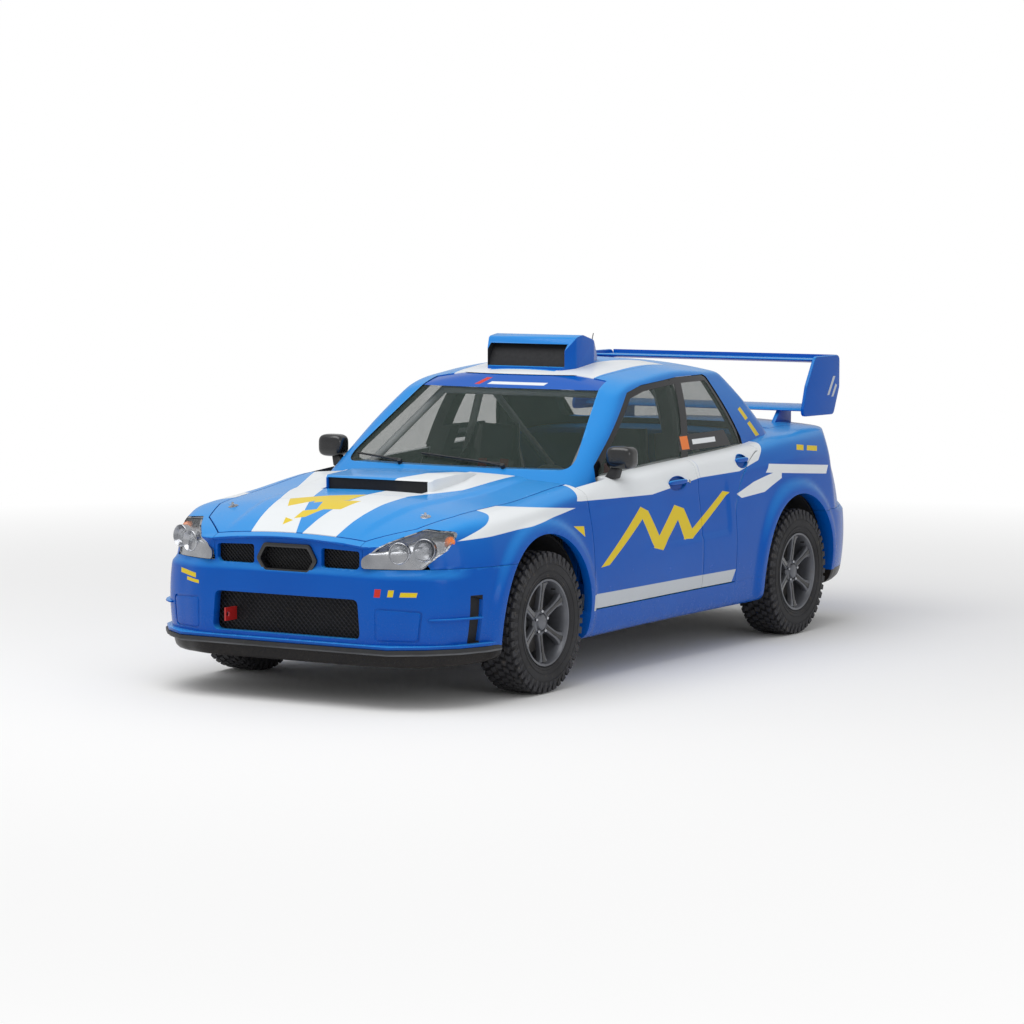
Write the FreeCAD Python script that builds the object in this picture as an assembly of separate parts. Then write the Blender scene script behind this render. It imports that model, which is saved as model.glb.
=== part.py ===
import FreeCAD, Part
import math
import os

# Four-door rally saloon. Millimetres, +Z up, nose towards -Y, the car's left side is +X.
# The origin is on the ground under the middle of the car. Each piece is written to parts/NAME.step.

V = FreeCAD.Vector

# ---- overall sizes -------------------------------------------------------------------------------
wheelbase = 2545.0
front_overhang = 870.0          # front axle to the lip of the splitter
rear_overhang = 885.0           # rear axle to the end of the rear tow loop
half_width = 900.0              # over the wheel flares
roof_z = 1450.0                 # crown of the roof panel
deck_z = 930.0                  # base level of the glasshouse
splitter_reach = 40.0           # splitter ahead of the bumper
tow_reach = 30.0                # rear tow loop behind the bumper

# ---- wheels --------------------------------------------------------------------------------------
tyre_radius = 325.0
tyre_width = 205.0
wheel_inset = 22.5              # tyre wall inside the flare
rim_radius = 200.0
rim_width = 190.0
rim_wall = 12.0
bead_seat = 0.3                 # tyre to its rim
arch_radius = 395.0
arch_rise = 10.0                # arch centre above the hub
stub_radius = 25.0
steer_room = 182.0              # well beside a steered wheel's inner wall
fixed_room = 32.0               # well beside a rear wheel's inner wall
well_wall = 12.0

# ---- walls and clearances ------------------------------------------------------------------------
side_wall = 70.0                # doors, quarters and bumper covers
fender_wall = 30.0              # front wings, single bolted skins
top_wall = 30.0                 # bonnet, boot lid and decks
roof_wall = 35.0
pillar_wall = 48.0
floor_wall = 25.0
sheet = 18.0                    # firewall, bulkhead and boot floor
glass = 5.0
glass_inset = 4.0               # glass lies this far under the outer surface
glass_seat = 0.3                # bonded glass to its frame
shut_gap = 6.0                  # between a moving panel and its neighbour
seam_gap = 2.0                  # between two fixed panels
pin_clearance = 0.05            # radial, for running fits
joint_clearance = 0.05          # radial, for the lower ball joints
hinge_pin = 5.0                 # radius, bonnet and boot lid
door_pin = 2.0                  # radius
column_radius = 25.0
column_clearance = 0.5
cage_radius = 20.0
brace_radius = 17.0             # cage bars that end on another bar

# ---- heights -------------------------------------------------------------------------------------
floor_z = 225.0                 # underside of the floor
floor_top = floor_z + floor_wall
sill_z = 180.0                  # underside of the sills and jack pads
sill_top = 335.0
bumper_top = 618.0
boot_floor_z = 460.0
hinge_z = 917.0                 # bonnet hinges
lid_hinge_z = 1056.0            # at the skin, so that the lid's front edge swings clear of the deck
cowl_drop = 35.0                # cowl panel under the bonnet surface
cant_drop = 50.0                # cant rail below the roof crown
hub_z = tyre_radius
arch_z = hub_z + arch_rise

# ---- stations along and across the car -----------------------------------------------------------
length = front_overhang + wheelbase + rear_overhang
front_axle = -length / 2 + front_overhang
rear_axle = front_axle + wheelbase
middle = (front_axle + rear_axle) / 2
ANCHOR = {"F": front_axle, "M": middle, "R": rear_axle}
nose = front_axle - front_overhang + splitter_reach
tail = rear_axle + rear_overhang - tow_reach
bonnet_front = nose + 52.0
bonnet_back = front_axle + 420.0
hinge_y = bonnet_back + 10.0
foot_y = front_axle + 700.0     # back of the screen pillar's foot
door_front = front_axle + 465.0
door_split = middle + 250.0
split_lean = 235.0              # how far the line between the doors leans back above the belt
shut_lean = 0.26                # forward lean of the door shuts for each step inboard
window_back = rear_axle - 360.0
bulkhead_y = rear_axle - 140.0
deck_back = rear_axle + 172.0
lid_front = rear_axle + 193.0
lid_hinge_y = rear_axle + 183.0
hoop_y = middle + 400.0         # main hoop of the cage

upper_x = half_width - 195.0    # inboard edge of the door tops
foot_side_x = half_width - 128.0
cowl_half = half_width - 186.0
lid_half = half_width - 300.0
wing_half = half_width - 212.0
screen_low = half_width - 252.0
screen_high = half_width - 420.0
cage_side = half_width - 280.0
cage_top = half_width - 430.0
cage_z = roof_z - 110.0
seat_x = half_width - 530.0
wheel_x = half_width - wheel_inset - tyre_width / 2
well_front = wheel_x - tyre_width / 2 - steer_room
well_rear = wheel_x - tyre_width / 2 - fixed_room
jack_x = half_width - 120.0
tower_radius = 62.0
wide = half_width + 100.0       # reach of a cutting box past the car's side

column_top = V(seat_x - 20, middle - 330, 800)
column_base = V(seat_x - 20, middle - 700, 665)

# Lower body, nose to tail. Insets are taken from half_width, heights are from the ground.
# anchor, offset, sill inset, waist inset, shoulder inset, deck inset,
# z bottom, z waist, z shoulder, z deck, z crown
BODY = (
    ("F", -830, 500, 478, 500, 545, 190, 430, 672, 710, 735),
    ("F", -780, 318, 292, 330, 385, 185, 430, 680, 726, 758),
    ("F", -690, 188, 155, 196, 255, 180, 440, 702, 756, 790),
    ("F", -540, 112, 78, 122, 192, 180, 460, 740, 800, 836),
    ("F", -395, 66, 28, 74, 168, 185, 480, 774, 830, 866),
    ("F", 0, 45, 0, 58, 172, 190, 500, 815, 868, 905),
    ("F", 420, 60, 28, 70, 180, 195, 540, 868, 920, 950),
    ("M", 0, 62, 32, 75, 158, 200, 560, 925, 965, 985),
    ("R", -395, 50, 16, 75, 150, 200, 560, 960, 1000, 1020),
    ("R", 0, 40, 0, 70, 150, 205, 560, 985, 1032, 1052),
    ("R", 435, 62, 26, 98, 172, 215, 560, 990, 1045, 1072),
    ("R", 690, 132, 104, 212, 262, 225, 560, 975, 1035, 1068),
    ("R", 805, 215, 188, 305, 365, 235, 560, 960, 1012, 1042),
    ("R", 855, 420, 390, 460, 520, 245, 560, 930, 975, 1002),
)

# Glasshouse plan outlines, belt to above the roof. Insets from half_width; y values are anchor offsets:
# share of the height from deck_z to the cant rail, screen centre (F), screen edge inset and y (F),
# door glass front inset and y (F), side middle inset and y (M), door glass back inset and y (R),
# rear window edge inset and y (R), rear window centre (R)
CABIN = (
    (-0.20, 327, 223, 425, 140, 562, 116, 300, 136, 32, 226, 280, 364),
    (0.00, 470, 245, 555, 165, 680, 140, 300, 165, -30, 250, 190, 270),
    (0.53, 850, 305, 905, 232, 978, 207, 350, 242, -210, 315, -50, 20),
    (1.25, 1355, 452, 1388, 382, 1408, 366, 457, 392, -547, 446, -463, -409),
)

# Roof crown along the car: anchor, offset, fall of the crown from roof_z
ROOF = (("F", 850, 200), ("F", 1180, 56), ("F", 1420, 20), ("M", 430, 0), ("R", -520, 16),
        ("R", -260, 45), ("R", 60, 190))
roof_edge_fall = 74.0           # crown to edge, across the car
roof_edge_inset = 250.0

# Bonnet edge in plan, nose to screen: inset from half_width, y
BONNET = ((500, bonnet_front), (335, nose + 210), (260, nose + 400), (210, front_axle - 20),
          (188, bonnet_back))

# Headlamp in front view: inset from half_width, z
HEADLAMP = ((495, 622), (240, 620), (172, 700), (148, 780), (290, 790), (395, 735), (495, 664))


# ---- small helpers -------------------------------------------------------------------------------
def at(anchor, offset):
    return ANCHOR[anchor] + offset


def box(x0, x1, y0, y1, z0, z1):
    return Part.makeBox(x1 - x0, y1 - y0, z1 - z0, V(x0, y0, z0))


def prism(points, direction):
    """Solid swept by a flat polygon along a straight direction."""
    return Part.Face(Part.makePolygon(points + [points[0]])).extrude(direction)


def prism_yz(points, x0, x1):
    return prism([V(x0, y, z) for y, z in points], V(x1 - x0, 0, 0))


def prism_xy(points, z0, z1):
    return prism([V(x, y, z0) for x, y in points], V(0, 0, z1 - z0))


def prism_xz(points, y0, y1):
    return prism([V(x, y0, z) for x, z in points], V(0, y1 - y0, 0))


def rod(start, end, radius):
    axis = end - start
    return Part.makeCylinder(radius, axis.Length, start, axis)


def tube_path(points, radius):
    """Round bar along straight runs with slightly fuller ball corners."""
    shapes = [rod(V(*a), V(*b), radius) for a, b in zip(points, points[1:])]
    shapes += [Part.makeSphere(radius + 1, V(*p)) for p in points[1:-1]]
    return join(shapes)


def ring(centre, axis, outer, inner, width):
    """Ring of a given width centred on a point."""
    start = centre - axis * (width / 2)
    return Part.makeCylinder(outer, width, start, axis).cut(Part.makeCylinder(inner, width, start, axis))


def mirror(shape):
    return shape.mirror(V(0, 0, 0), V(1, 0, 0))


def both(shape):
    return [shape, mirror(shape)]


def join(shapes):
    return shapes[0].fuse(shapes[1:]).removeSplitter()


def join_all(shapes):
    """Joined for cutting with, without the tidying of shared faces."""
    return shapes[0].fuse(shapes[1:])


def solids_of(shape, smallest=1000.0):
    """The solids of a cut, without crumbs."""
    return [s for s in shape.Solids if s.Volume > smallest]


def arc(a, b, c):
    return Part.Arc(a, b, c).toShape()


def line(a, b):
    return Part.makeLine(a, b)


def save(name, *shapes):
    solids = [s for shape in shapes for s in solids_of(shape)]
    bad = [s for s in solids if not s.isValid()]
    size = Part.makeCompound(solids).BoundBox
    print(f"{name:20s} solids {len(solids)} bad {len(bad)} x {size.XMin:.0f} {size.XMax:.0f}"
          f" y {size.YMin:.0f} {size.YMax:.0f} z {size.ZMin:.0f} {size.ZMax:.0f}")
    piece = Part.makeCompound(solids) if len(solids) > 1 else solids[0]
    piece.exportStep(f"parts/{name}.step")


def widened(points, grow):
    """Closed outline moved outwards by grow, with sharp corners."""
    if not grow:
        return list(points)
    area = sum(p[0] * q[1] - q[0] * p[1] for p, q in zip(points, points[1:] + points[:1]))
    turn = 1 if area > 0 else -1
    moved = []
    for before, here, after in zip(points[-1:] + points[:-1], points, points[1:] + points[:1]):
        d1 = V(here[0] - before[0], here[1] - before[1], 0).normalize()
        d2 = V(after[0] - here[0], after[1] - here[1], 0).normalize()
        n1, n2 = V(d1.y, -d1.x, 0) * turn, V(d2.y, -d2.x, 0) * turn
        corner = (n1 + n2) * (grow / (1 + n1.dot(n2)))
        moved.append((here[0] + corner.x, here[1] + corner.y))
    return moved


# ---- volumes that the panels are cut from --------------------------------------------------------
def hull_section(row, side, top, bottom):
    """Closed cross-section of the lower body, drawn inside the outer surface by three insets."""
    anchor, offset, sill, waist, shoulder, deck, z_bottom, z_waist, z_shoulder, z_deck, z_crown = row
    y = at(anchor, offset)
    w = half_width - side
    low = [V(w - sill, y, z_bottom + bottom), V(w - waist, y, z_waist),
           V(w - shoulder, y, z_shoulder - 0.6 * top)]
    edge = V(w - deck, y, z_deck - top)
    bend = V((low[2].x + edge.x) / 2 + 8, y, (low[2].z + edge.z) / 2 + 8)
    flip = [V(-p.x, p.y, p.z) for p in low]
    edge_flip = V(-edge.x, y, edge.z)
    bend_flip = V(-bend.x, y, bend.z)
    return Part.Wire([
        line(flip[0], low[0]),
        arc(low[0], low[1], low[2]),
        arc(low[2], bend, edge),
        arc(edge, V(0, y, z_crown - top), edge_flip),
        arc(edge_flip, bend_flip, flip[2]),
        arc(flip[2], flip[1], flip[0]),
    ])


def hull(side=0.0, top=0.0, bottom=0.0):
    """Lower body as one solid; the insets give the inside of the walls."""
    return Part.makeLoft([hull_section(row, side, top, bottom) for row in BODY], True, True)


def room(side, top, bottom):
    """Inside of the lower body, stopped short of the nose and tail caps."""
    inside = hull(side, top, bottom)
    return inside.common(box(-half_width, half_width, nose + 46, tail - 60, 0, roof_z))


def cabin_outline(row, inset):
    share, y0, xa, ya, xb, yb, xs, ys, xc, yc, xd, yd, y1 = row
    z = deck_z + share * (roof_z - cant_drop - deck_z)
    w = half_width - inset
    front, back = 1.9 * inset, 1.4 * inset      # the screens lean, so their insets are longer in plan
    centre_front = V(0, at("F", y0) + front, z)
    a = V(w - xa, at("F", ya) + front, z)
    b = V(w - xb, at("F", yb) + 0.6 * front, z)
    s = V(w - xs, at("M", ys), z)
    c = V(w - xc, at("R", yc) - 0.6 * back, z)
    d = V(w - xd, at("R", yd) - back, z)
    centre_back = V(0, at("R", y1) - back, z)
    ab = (a + b) * 0.5 + V(14, -10, 0)
    cd = (c + d) * 0.5 + V(14, 12, 0)

    def other(p):
        return V(-p.x, p.y, p.z)

    return Part.Wire([
        arc(other(a), centre_front, a), arc(a, ab, b), arc(b, s, c), arc(c, cd, d),
        arc(d, centre_back, other(d)), arc(other(d), other(cd), other(c)),
        arc(other(c), other(s), other(b)), arc(other(b), other(ab), other(a)),
    ])


def cabin(inset=0.0):
    """Glasshouse as one solid, open-ended above the roof."""
    return Part.makeLoft([cabin_outline(row, inset) for row in CABIN], True, True)


def under_roof(fall=0.0):
    """Everything under the roof surface lowered by fall."""
    x = half_width - roof_edge_inset
    low = deck_z - 60
    wires = []
    for anchor, offset, drop in ROOF:
        y = at(anchor, offset)
        z = roof_z - drop - fall
        left, right = V(-x, y, z - roof_edge_fall), V(x, y, z - roof_edge_fall)
        wires.append(Part.Wire([
            line(V(-x, y, low), V(x, y, low)), line(V(x, y, low), right),
            arc(right, V(0, y, z), left), line(left, V(-x, y, low)),
        ]))
    return Part.makeLoft(wires, True, True)


def wheel_rooms(grow=0.0):
    """Four cylinders that the wheels turn in, or their linings' outsides."""
    rooms = []
    for axle, inner in ((front_axle, well_front), (rear_axle, well_rear)):
        rooms += both(rod(V(inner - grow, axle, arch_z), V(wide, axle, arch_z), arch_radius + grow))
    return rooms


# ---- outlines and regions of the panels ----------------------------------------------------------
def side_panel(points):
    """Region swept inboard from a side view outline; the sweep leans forwards, so that a door's shut
    faces clear each other as it swings."""
    depth = 0.45 * half_width
    return prism([V(half_width + 20, y, z) for y, z in points], V(-depth, -shut_lean * depth, 0))


def curved_edge(p, q, r):
    """Points of the arc through three side view points."""
    return [(v.y, v.z) for v in arc(V(0, *p), V(0, *q), V(0, *r)).discretize(7)]


def bonnet_outline(grow=0.0):
    right = [(half_width - inset, y) for inset, y in BONNET]
    return widened(right + [(-x, y) for x, y in reversed(right)], grow)


def front_door_outline(grow=0.0):
    low = sill_top + shut_gap
    points = [(door_front, low), (door_split, low), (door_split, 950), (door_split + split_lean, 1500),
              (door_front, 1500)]
    return widened(points, grow)


def rear_door_outline(grow=0.0):
    low, front, back = sill_top + shut_gap, door_split + shut_gap, rear_axle - 222
    arch_edge = curved_edge((rear_axle - 680, 690), (rear_axle - 530, 885), (rear_axle - 228, 988))
    points = [(front, low), (rear_axle - 680, low)] + arch_edge
    points += [(back, 1100), (back, 1500), (front + split_lean, 1500), (front, 950)]
    return widened(points, grow)


def windows_outline(grow=0.0):
    """Side glass of both doors as one opening, side view."""
    points = [(front_axle + 660, 900), (front_axle + 702, 985), (front_axle + 1262, 1372),
              (front_axle + 1310, 1386), (middle + 420, 1390), (rear_axle - 545, 1378),
              (rear_axle - 515, 1362), (window_back, 1040), (window_back, 900)]
    return widened(points, grow)


def door_space(outline, grow=0.0):
    """Everything a door outline covers, kept outboard of the screen pillar's foot and the glass run."""
    foot_side = box(0, foot_side_x - grow, nose, foot_y + shut_gap - grow, 840, 1600)
    glass_run = box(0, upper_x - grow, nose, tail, 0, 1080)
    rear_foot = box(0, foot_side_x - grow, window_back - 8 + 4 * grow, tail, 840, 1600)
    return side_panel(outline).cut([foot_side, glass_run, rear_foot])


def lamp_region():
    return prism_xz([(half_width - inset, z) for inset, z in HEADLAMP], nose - 5, front_axle - 400)


def nose_region(grow=0.0):
    """Bumper, nose frame and everything under the lamps."""
    low = box(-wide, wide, nose - 5, front_axle - 250, 0, bumper_top + grow)
    inner = half_width - 500 + grow
    return low.fuse(box(-inner, inner, nose - 5, nose + 330, 0, 800))


def tail_region(grow=0.0):
    return box(-wide, wide, rear_axle + 250, tail + 5, 0, bumper_top + grow)


def lid_region(grow=0.0):
    return box(-lid_half - grow, lid_half + grow, lid_front - grow, tail + 5, 700 - grow, 1200)


def tail_lamp_region():
    return box(lid_half + shut_gap, half_width, rear_axle + 600, tail + 5, 800, 925)


def screen_opening(grow=0.0):
    x0, x1 = screen_low + grow, screen_high + grow
    z0, z1 = 968 - grow, roof_z - 66 + grow
    return prism_xz([(-x0, z0), (x0, z0), (x1, z1), (-x1, z1)], front_axle + 300, middle - 60)


def back_opening(grow=0.0):
    x0, x1 = half_width - 355 + grow, half_width - 454 + grow
    z0, z1 = 1088 - grow, roof_z - 84 + grow
    return prism_xz([(-x0, z0), (x0, z0), (x1, z1), (-x1, z1)], rear_axle - 420, tail)


# ---- nose ----------------------------------------------------------------------------------------
def nose_openings():
    """Centre grille, two side grilles and the wide lower intake."""
    y0, y1 = nose - 10, nose + 90
    centre = box(-154, 154, y0, y1, 588, 702)
    intake = prism_xz([(-400, 304), (400, 304), (386, 482), (-386, 482)], y0, y1 + 60)
    side = prism_xz([(182, 612), (372, 612), (386, 630), (386, 694), (182, 700)], y0, y1 + 120)
    return join_all([centre, intake] + both(side))


def build_nose(wall, skin, wells, doors):
    """Bumper cover, mesh plate behind it, lamps, front wings."""
    bonnet_gap = prism_xy(bonnet_outline(shut_gap), 640, 1200)
    lamps = lamp_region()
    bumper = wall.common(nose_region()).common(box(-wide, wide, nose - 5, front_axle - 200, 0, 800))
    save("front_bumper", bumper.cut([bonnet_gap, lamps, nose_openings()] + wells))

    behind = room(side_wall, top_wall + 20, floor_wall)
    mesh = behind.common(box(-480, 480, nose + 46, nose + 58, 285, 715))
    save("grille", mesh.cut(bonnet_gap))

    save("headlamps", *both(wall.common(lamps).cut([bonnet_gap, nose_region(seam_gap)])))

    fender = skin.common(box(0, wide, nose - 5, bonnet_back + 400, sill_top, 1100))
    fender = fender.cut([bonnet_gap, lamps, nose_region(seam_gap), doors] + wells)
    fender = fender.cut([box(0, cowl_half + 6, bonnet_back - 60, bonnet_back + 500, 0, 1200),
                         box(0, foot_side_x, door_front - 45, bonnet_back + 500, 840, 1200),
                         box(0, wide, door_front + 60, bonnet_back + 500, 0, 1200),
                         box(0, cowl_half - 114, nose - 5, bonnet_back, 0, 640)])
    save("front_fenders", *both(fender))


def hinge_places(centre_x):
    """Inboard edges of a pair of hinge lugs, 40 wide."""
    return centre_x, -centre_x - 40


def build_bonnet(wall):
    """Bonnet skin with the intake scoop and two hinge lugs."""
    cover = wall.common(prism_xy(bonnet_outline(), 640, 1200))
    front = front_axle - 103
    scoop = prism_yz([(front, 870), (front, 934), (front + 45, 958), (front + 240, 968),
                      (front_axle + 385, 962), (front_axle + 390, 900)], -300, 300)
    mouth = prism_yz([(front - 20, 893), (front - 20, 926), (front + 60, 940), (front + 120, 930),
                      (front + 120, 893)], -280, 280)
    scoop = scoop.common(hull(0, -58, 0)).cut(hull(side_wall, top_wall - 12, 0))
    lugs = [box(x, x + 40, bonnet_back - 8, hinge_y + 8, hinge_z - 12, hinge_z + 12)
            for x in hinge_places(lid_half - 40)]
    bore = rod(V(-wide, hinge_y, hinge_z), V(wide, hinge_y, hinge_z), hinge_pin + pin_clearance)
    save("bonnet", cover.fuse([scoop] + lugs).cut([mouth, bore]))


def build_cowl(doors):
    """Recessed panel under the back of the bonnet, with the hinge brackets and pins."""
    top = hull(side_wall + 8, cowl_drop, 0).cut(hull(side_wall + 8, cowl_drop + 20, 0))
    ears = foot_side_x - 26
    area = box(-cowl_half, cowl_half, bonnet_back - 30, foot_y + 40, 700, 1200).fuse(
        box(-ears, ears, door_front - 43, foot_y + 40, 700, 1200))
    panel = top.common(area).cut([doors, cabin(pillar_wall)])
    parts = []
    for x in hinge_places(lid_half - 40):
        for x0 in (x - 14, x + 44):
            parts.append(box(x0, x0 + 10, bonnet_back + 5, hinge_y + 12, hinge_z - 32, hinge_z + 7))
        parts.append(rod(V(x - 14, hinge_y, hinge_z), V(x + 54, hinge_y, hinge_z), hinge_pin))
    front_pillar = lower_pillars()[0]
    save("cowl_panel", panel.fuse(parts).cut([screen_feet()] + both(front_pillar)))


# ---- cabin ---------------------------------------------------------------------------------------
def screen_feet():
    """Screen pillars' feet, through the cowl panel to the door pillars."""
    shell = cabin().cut(cabin(pillar_wall))
    feet = shell.common(join_all(both(box(lid_half, wide, front_axle, foot_y, 850, 985))))
    return feet.cut([screen_opening(), prism_yz(windows_outline(), -wide, wide)])


def lower_pillars():
    """Door pillars inside the doors, floor to belt."""
    inner = hull(side_wall + 16, top_wall + 8, 60)
    outer_a = inner.cut(hull(side_wall + 85, top_wall + 8, 60))
    outer_b = inner.cut(hull(side_wall + 150, top_wall + 8, 60))
    front = outer_a.common(box(500, wide, door_front - 57, door_front + 30, sill_top, 900))
    centre = outer_b.common(box(500, wide, door_split - 55, door_split + 55, sill_top, 890))
    return front, centre


def centre_posts():
    """Upper halves of the centre pillars, leaning back with the door shuts, on their lower halves."""
    low, high = door_split - 40, door_split + 115
    post = prism_yz([(low - 45, 860), (low + 45, 860), (high + 45, 1400), (high - 45, 1400)], 400, wide)
    upper = cabin(16).cut(cabin(80)).common(post).common(under_roof(roof_wall))
    knee = cabin(70).cut(cabin(130)).common(post)
    knee = knee.common(box(400, wide, door_split - 80, middle + 600, 860, 1090))
    glass_run = box(upper_x - 8, wide, middle, middle + 600, 700, 990)
    return upper.fuse(knee).cut(glass_run)


def build_frame(doors):
    """Upper body: screen pillars, cant rails, centre pillars and rear pillars, one welded frame."""
    shell = cabin().cut(cabin(pillar_wall)).common(under_roof())
    sides = prism_yz(windows_outline(), -wide, wide)
    shell = shell.cut([screen_opening(), back_opening(), sides])
    front_half = box(-wide, wide, nose, middle, 0, 1200)
    cowl_top = hull(side_wall + 8, cowl_drop, 0).common(front_half)
    outboard = hull().common(join_all(both(box(lid_half, wide, nose, middle, 0, 1200))))
    rear_half = hull().common(box(-wide, wide, middle, tail, 0, 1200))
    shell = shell.cut([rear_half, cowl_top.fuse(outboard)])
    front, centre = lower_pillars()
    posts = centre_posts().fuse(centre)
    save("cabin_frame", join_all([shell, screen_feet().cut(doors)] + both(posts) + both(front)))


def build_roof():
    """Roof skin inside the cant rails, with the air scoop."""
    panel = cabin(pillar_wall).common(under_roof().cut(under_roof(roof_wall)))
    panel = panel.cut([screen_opening(), back_opening()])
    front = front_axle + 1222
    scoop = prism_yz([(front, roof_z - 60), (front, roof_z - 8), (front + 30, roof_z + 40),
                      (front + 105, roof_z + 112), (front + 175, roof_z + 124), (front + 290, roof_z + 92),
                      (front + 420, roof_z - 5), (front + 420, roof_z - 60)], -252, 252)
    mouth = prism_yz([(front - 30, roof_z - 4), (front - 30, roof_z + 22), (front + 95, roof_z + 96),
                      (front + 180, roof_z + 96), (front + 180, roof_z + 12), (front + 40, roof_z + 6)],
                     -226, 226)
    frame = cabin().cut(cabin(pillar_wall)).common(under_roof())
    save("roof_panel", panel.fuse(scoop.cut([under_roof(20), frame])).cut(mouth))


def build_glass():
    """Bonded screens and the four door panes."""
    pane = cabin(glass_inset).cut(cabin(glass_inset + glass))
    save("windscreen", pane.common(screen_opening(-glass_seat)).cut(hull()))
    save("rear_window", pane.common(back_opening(-glass_seat)).cut(hull()))
    side = pane.common(prism_yz(windows_outline(-10), 540, wide)).cut(hull())
    for name, outline in (("front", front_door_outline()), ("rear", rear_door_outline())):
        piece = side.common(side_panel(outline))
        save(f"{name}_glass_left", piece)
        save(f"{name}_glass_right", mirror(piece))


# ---- doors ---------------------------------------------------------------------------------------
def hinge_line(outer, y_edge):
    """Where a door's pins stand: just inside the widest point of its front edge."""
    cut = outer.common(box(0, wide, y_edge - 1, y_edge + 1, 300, 900))
    return cut.optimalBoundingBox().XMax - 3.5, y_edge + 5.0


def build_doors(outer, wall, wells):
    """Doors as thick as their shells; each swings on two short pins at its front edge."""
    hinge_parts = []
    specs = (("front_door", front_door_outline(), door_front),
             ("rear_door", rear_door_outline(), door_split + shut_gap))
    for name, outline, edge in specs:
        door = wall.common(door_space(outline)).cut(wells)
        x, y = hinge_line(outer, edge)
        leaf_x = x - side_wall - 60
        back = y - shut_lean * (x - leaf_x)
        for z in (430.0, 760.0):
            notch = box(x - 100, x + 30, edge - 40, y + 4.5, z - 28, z + 28)
            bore = rod(V(x, y, z - 36), V(x, y, z + 36), door_pin + pin_clearance)
            door = door.cut([notch, bore])
            leaf = prism_xy([(x, y - 1.5), (x, y + 1.5), (leaf_x, back + 1.5), (leaf_x, back - 1.5)],
                            z - 25, z + 25)
            barrel = rod(V(x, y, z - 25), V(x, y, z + 25), door_pin + 1.4)
            pin = rod(V(x, y, z - 35), V(x, y, z + 35), door_pin)
            hinge_parts += [barrel, pin, leaf]
        save(f"{name}_left", door)
        save(f"{name}_right", mirror(door))
        print(f"  {name} hinge x {x:.2f} y {y:.2f}")
    save("door_hinges", *both(join_all(hinge_parts).cut(list(lower_pillars()))))


def build_mirrors():
    """Door mirrors: a deep shell on a short foot."""
    x, y, z = half_width - 78, front_axle + 776, 1032
    shell = prism_yz([(y - 45, z - 45), (y - 20, z - 58), (y + 38, z - 58), (y + 38, z + 50),
                      (y - 25, z + 50), (y - 50, z + 15)], x - 70, x + 72)
    foot = box(x - 72, x - 30, y - 10, y + 30, 930, z - 50)
    piece = shell.fuse(foot).cut(hull())
    save("door_mirror_left", piece)
    save("door_mirror_right", mirror(piece))


# ---- tail ----------------------------------------------------------------------------------------
def build_rear(wall, wells, doors):
    """Quarters with the deck, boot lid, bumper and lamps."""
    lamps = tail_lamp_region()
    gutter = box(-lid_half - shut_gap, lid_half + shut_gap, deck_back, lid_front + 40, 900, 1200)
    cabin_hole = box(-upper_x - 5, upper_x + 5, nose, rear_axle - 130, 0, 1200)
    quarter = wall.common(box(-wide, wide, middle + 400, tail + 5, sill_top, 1200))
    quarter = quarter.cut([lid_region(shut_gap), gutter, cabin_hole, tail_region(seam_gap), doors,
                           mirror(doors)] + both(lamps) + wells)
    places = hinge_places(lid_half - 200)
    brackets = []
    for x in places:
        for x0 in (x - 14, x + 44):
            brackets.append(box(x0, x0 + 10, deck_back - 10, lid_hinge_y + 5, lid_hinge_z - 22,
                                lid_hinge_z + 7))
        brackets.append(rod(V(x - 14, lid_hinge_y, lid_hinge_z), V(x + 54, lid_hinge_y, lid_hinge_z),
                            hinge_pin))
    save("quarter_panels", quarter.fuse(brackets))

    lugs = [box(x, x + 40, lid_hinge_y - 6, lid_front + 10, lid_hinge_z - 14, lid_hinge_z + 7)
            for x in places]
    bore = rod(V(-wide, lid_hinge_y, lid_hinge_z), V(wide, lid_hinge_y, lid_hinge_z),
               hinge_pin + pin_clearance)
    save("boot_lid", wall.common(lid_region()).fuse(lugs).cut(bore))

    pipe_hole = rod(V(-400, rear_axle, 300), V(-400, tail + 50, 300), 56)
    save("rear_bumper", wall.common(tail_region()).cut(wells + [pipe_hole]))
    save("tail_lamps", *both(wall.common(lamps)))


def build_wing():
    """Tall rear wing: upper blade, lower blade and end plates on two feet."""
    back = rear_axle + 815
    upper = prism_yz([(back - 270, 1390), (back - 235, 1408), (back, 1392), (back, 1384),
                      (back - 235, 1380)], -wing_half, wing_half)
    lower = prism_yz([(back - 320, 1118), (back - 280, 1140), (back - 60, 1150), (back - 60, 1142),
                      (back - 280, 1112)], -wing_half, wing_half)
    plate = prism_yz([(back - 444, 1100), (back - 70, 1095), (back, 1240), (back, 1411),
                      (back - 290, 1411), (back - 390, 1260)], wing_half, wing_half + 18)
    foot = prism_yz([(back - 380, 1020), (back - 150, 1000), (back - 150, 1130), (back - 270, 1130)],
                    half_width - 430, half_width - 408)
    feet = [f.cut(hull()) for f in both(foot)]
    save("rear_wing", join_all([upper, lower] + both(plate) + feet))


# ---- under the body ------------------------------------------------------------------------------
def king_pin():
    """Line the front wheels steer about: lower ball joint and top mount."""
    return V(wheel_x - 75, front_axle, hub_z - 120), V(wheel_x - 225, front_axle, hub_z + 475)


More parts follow.
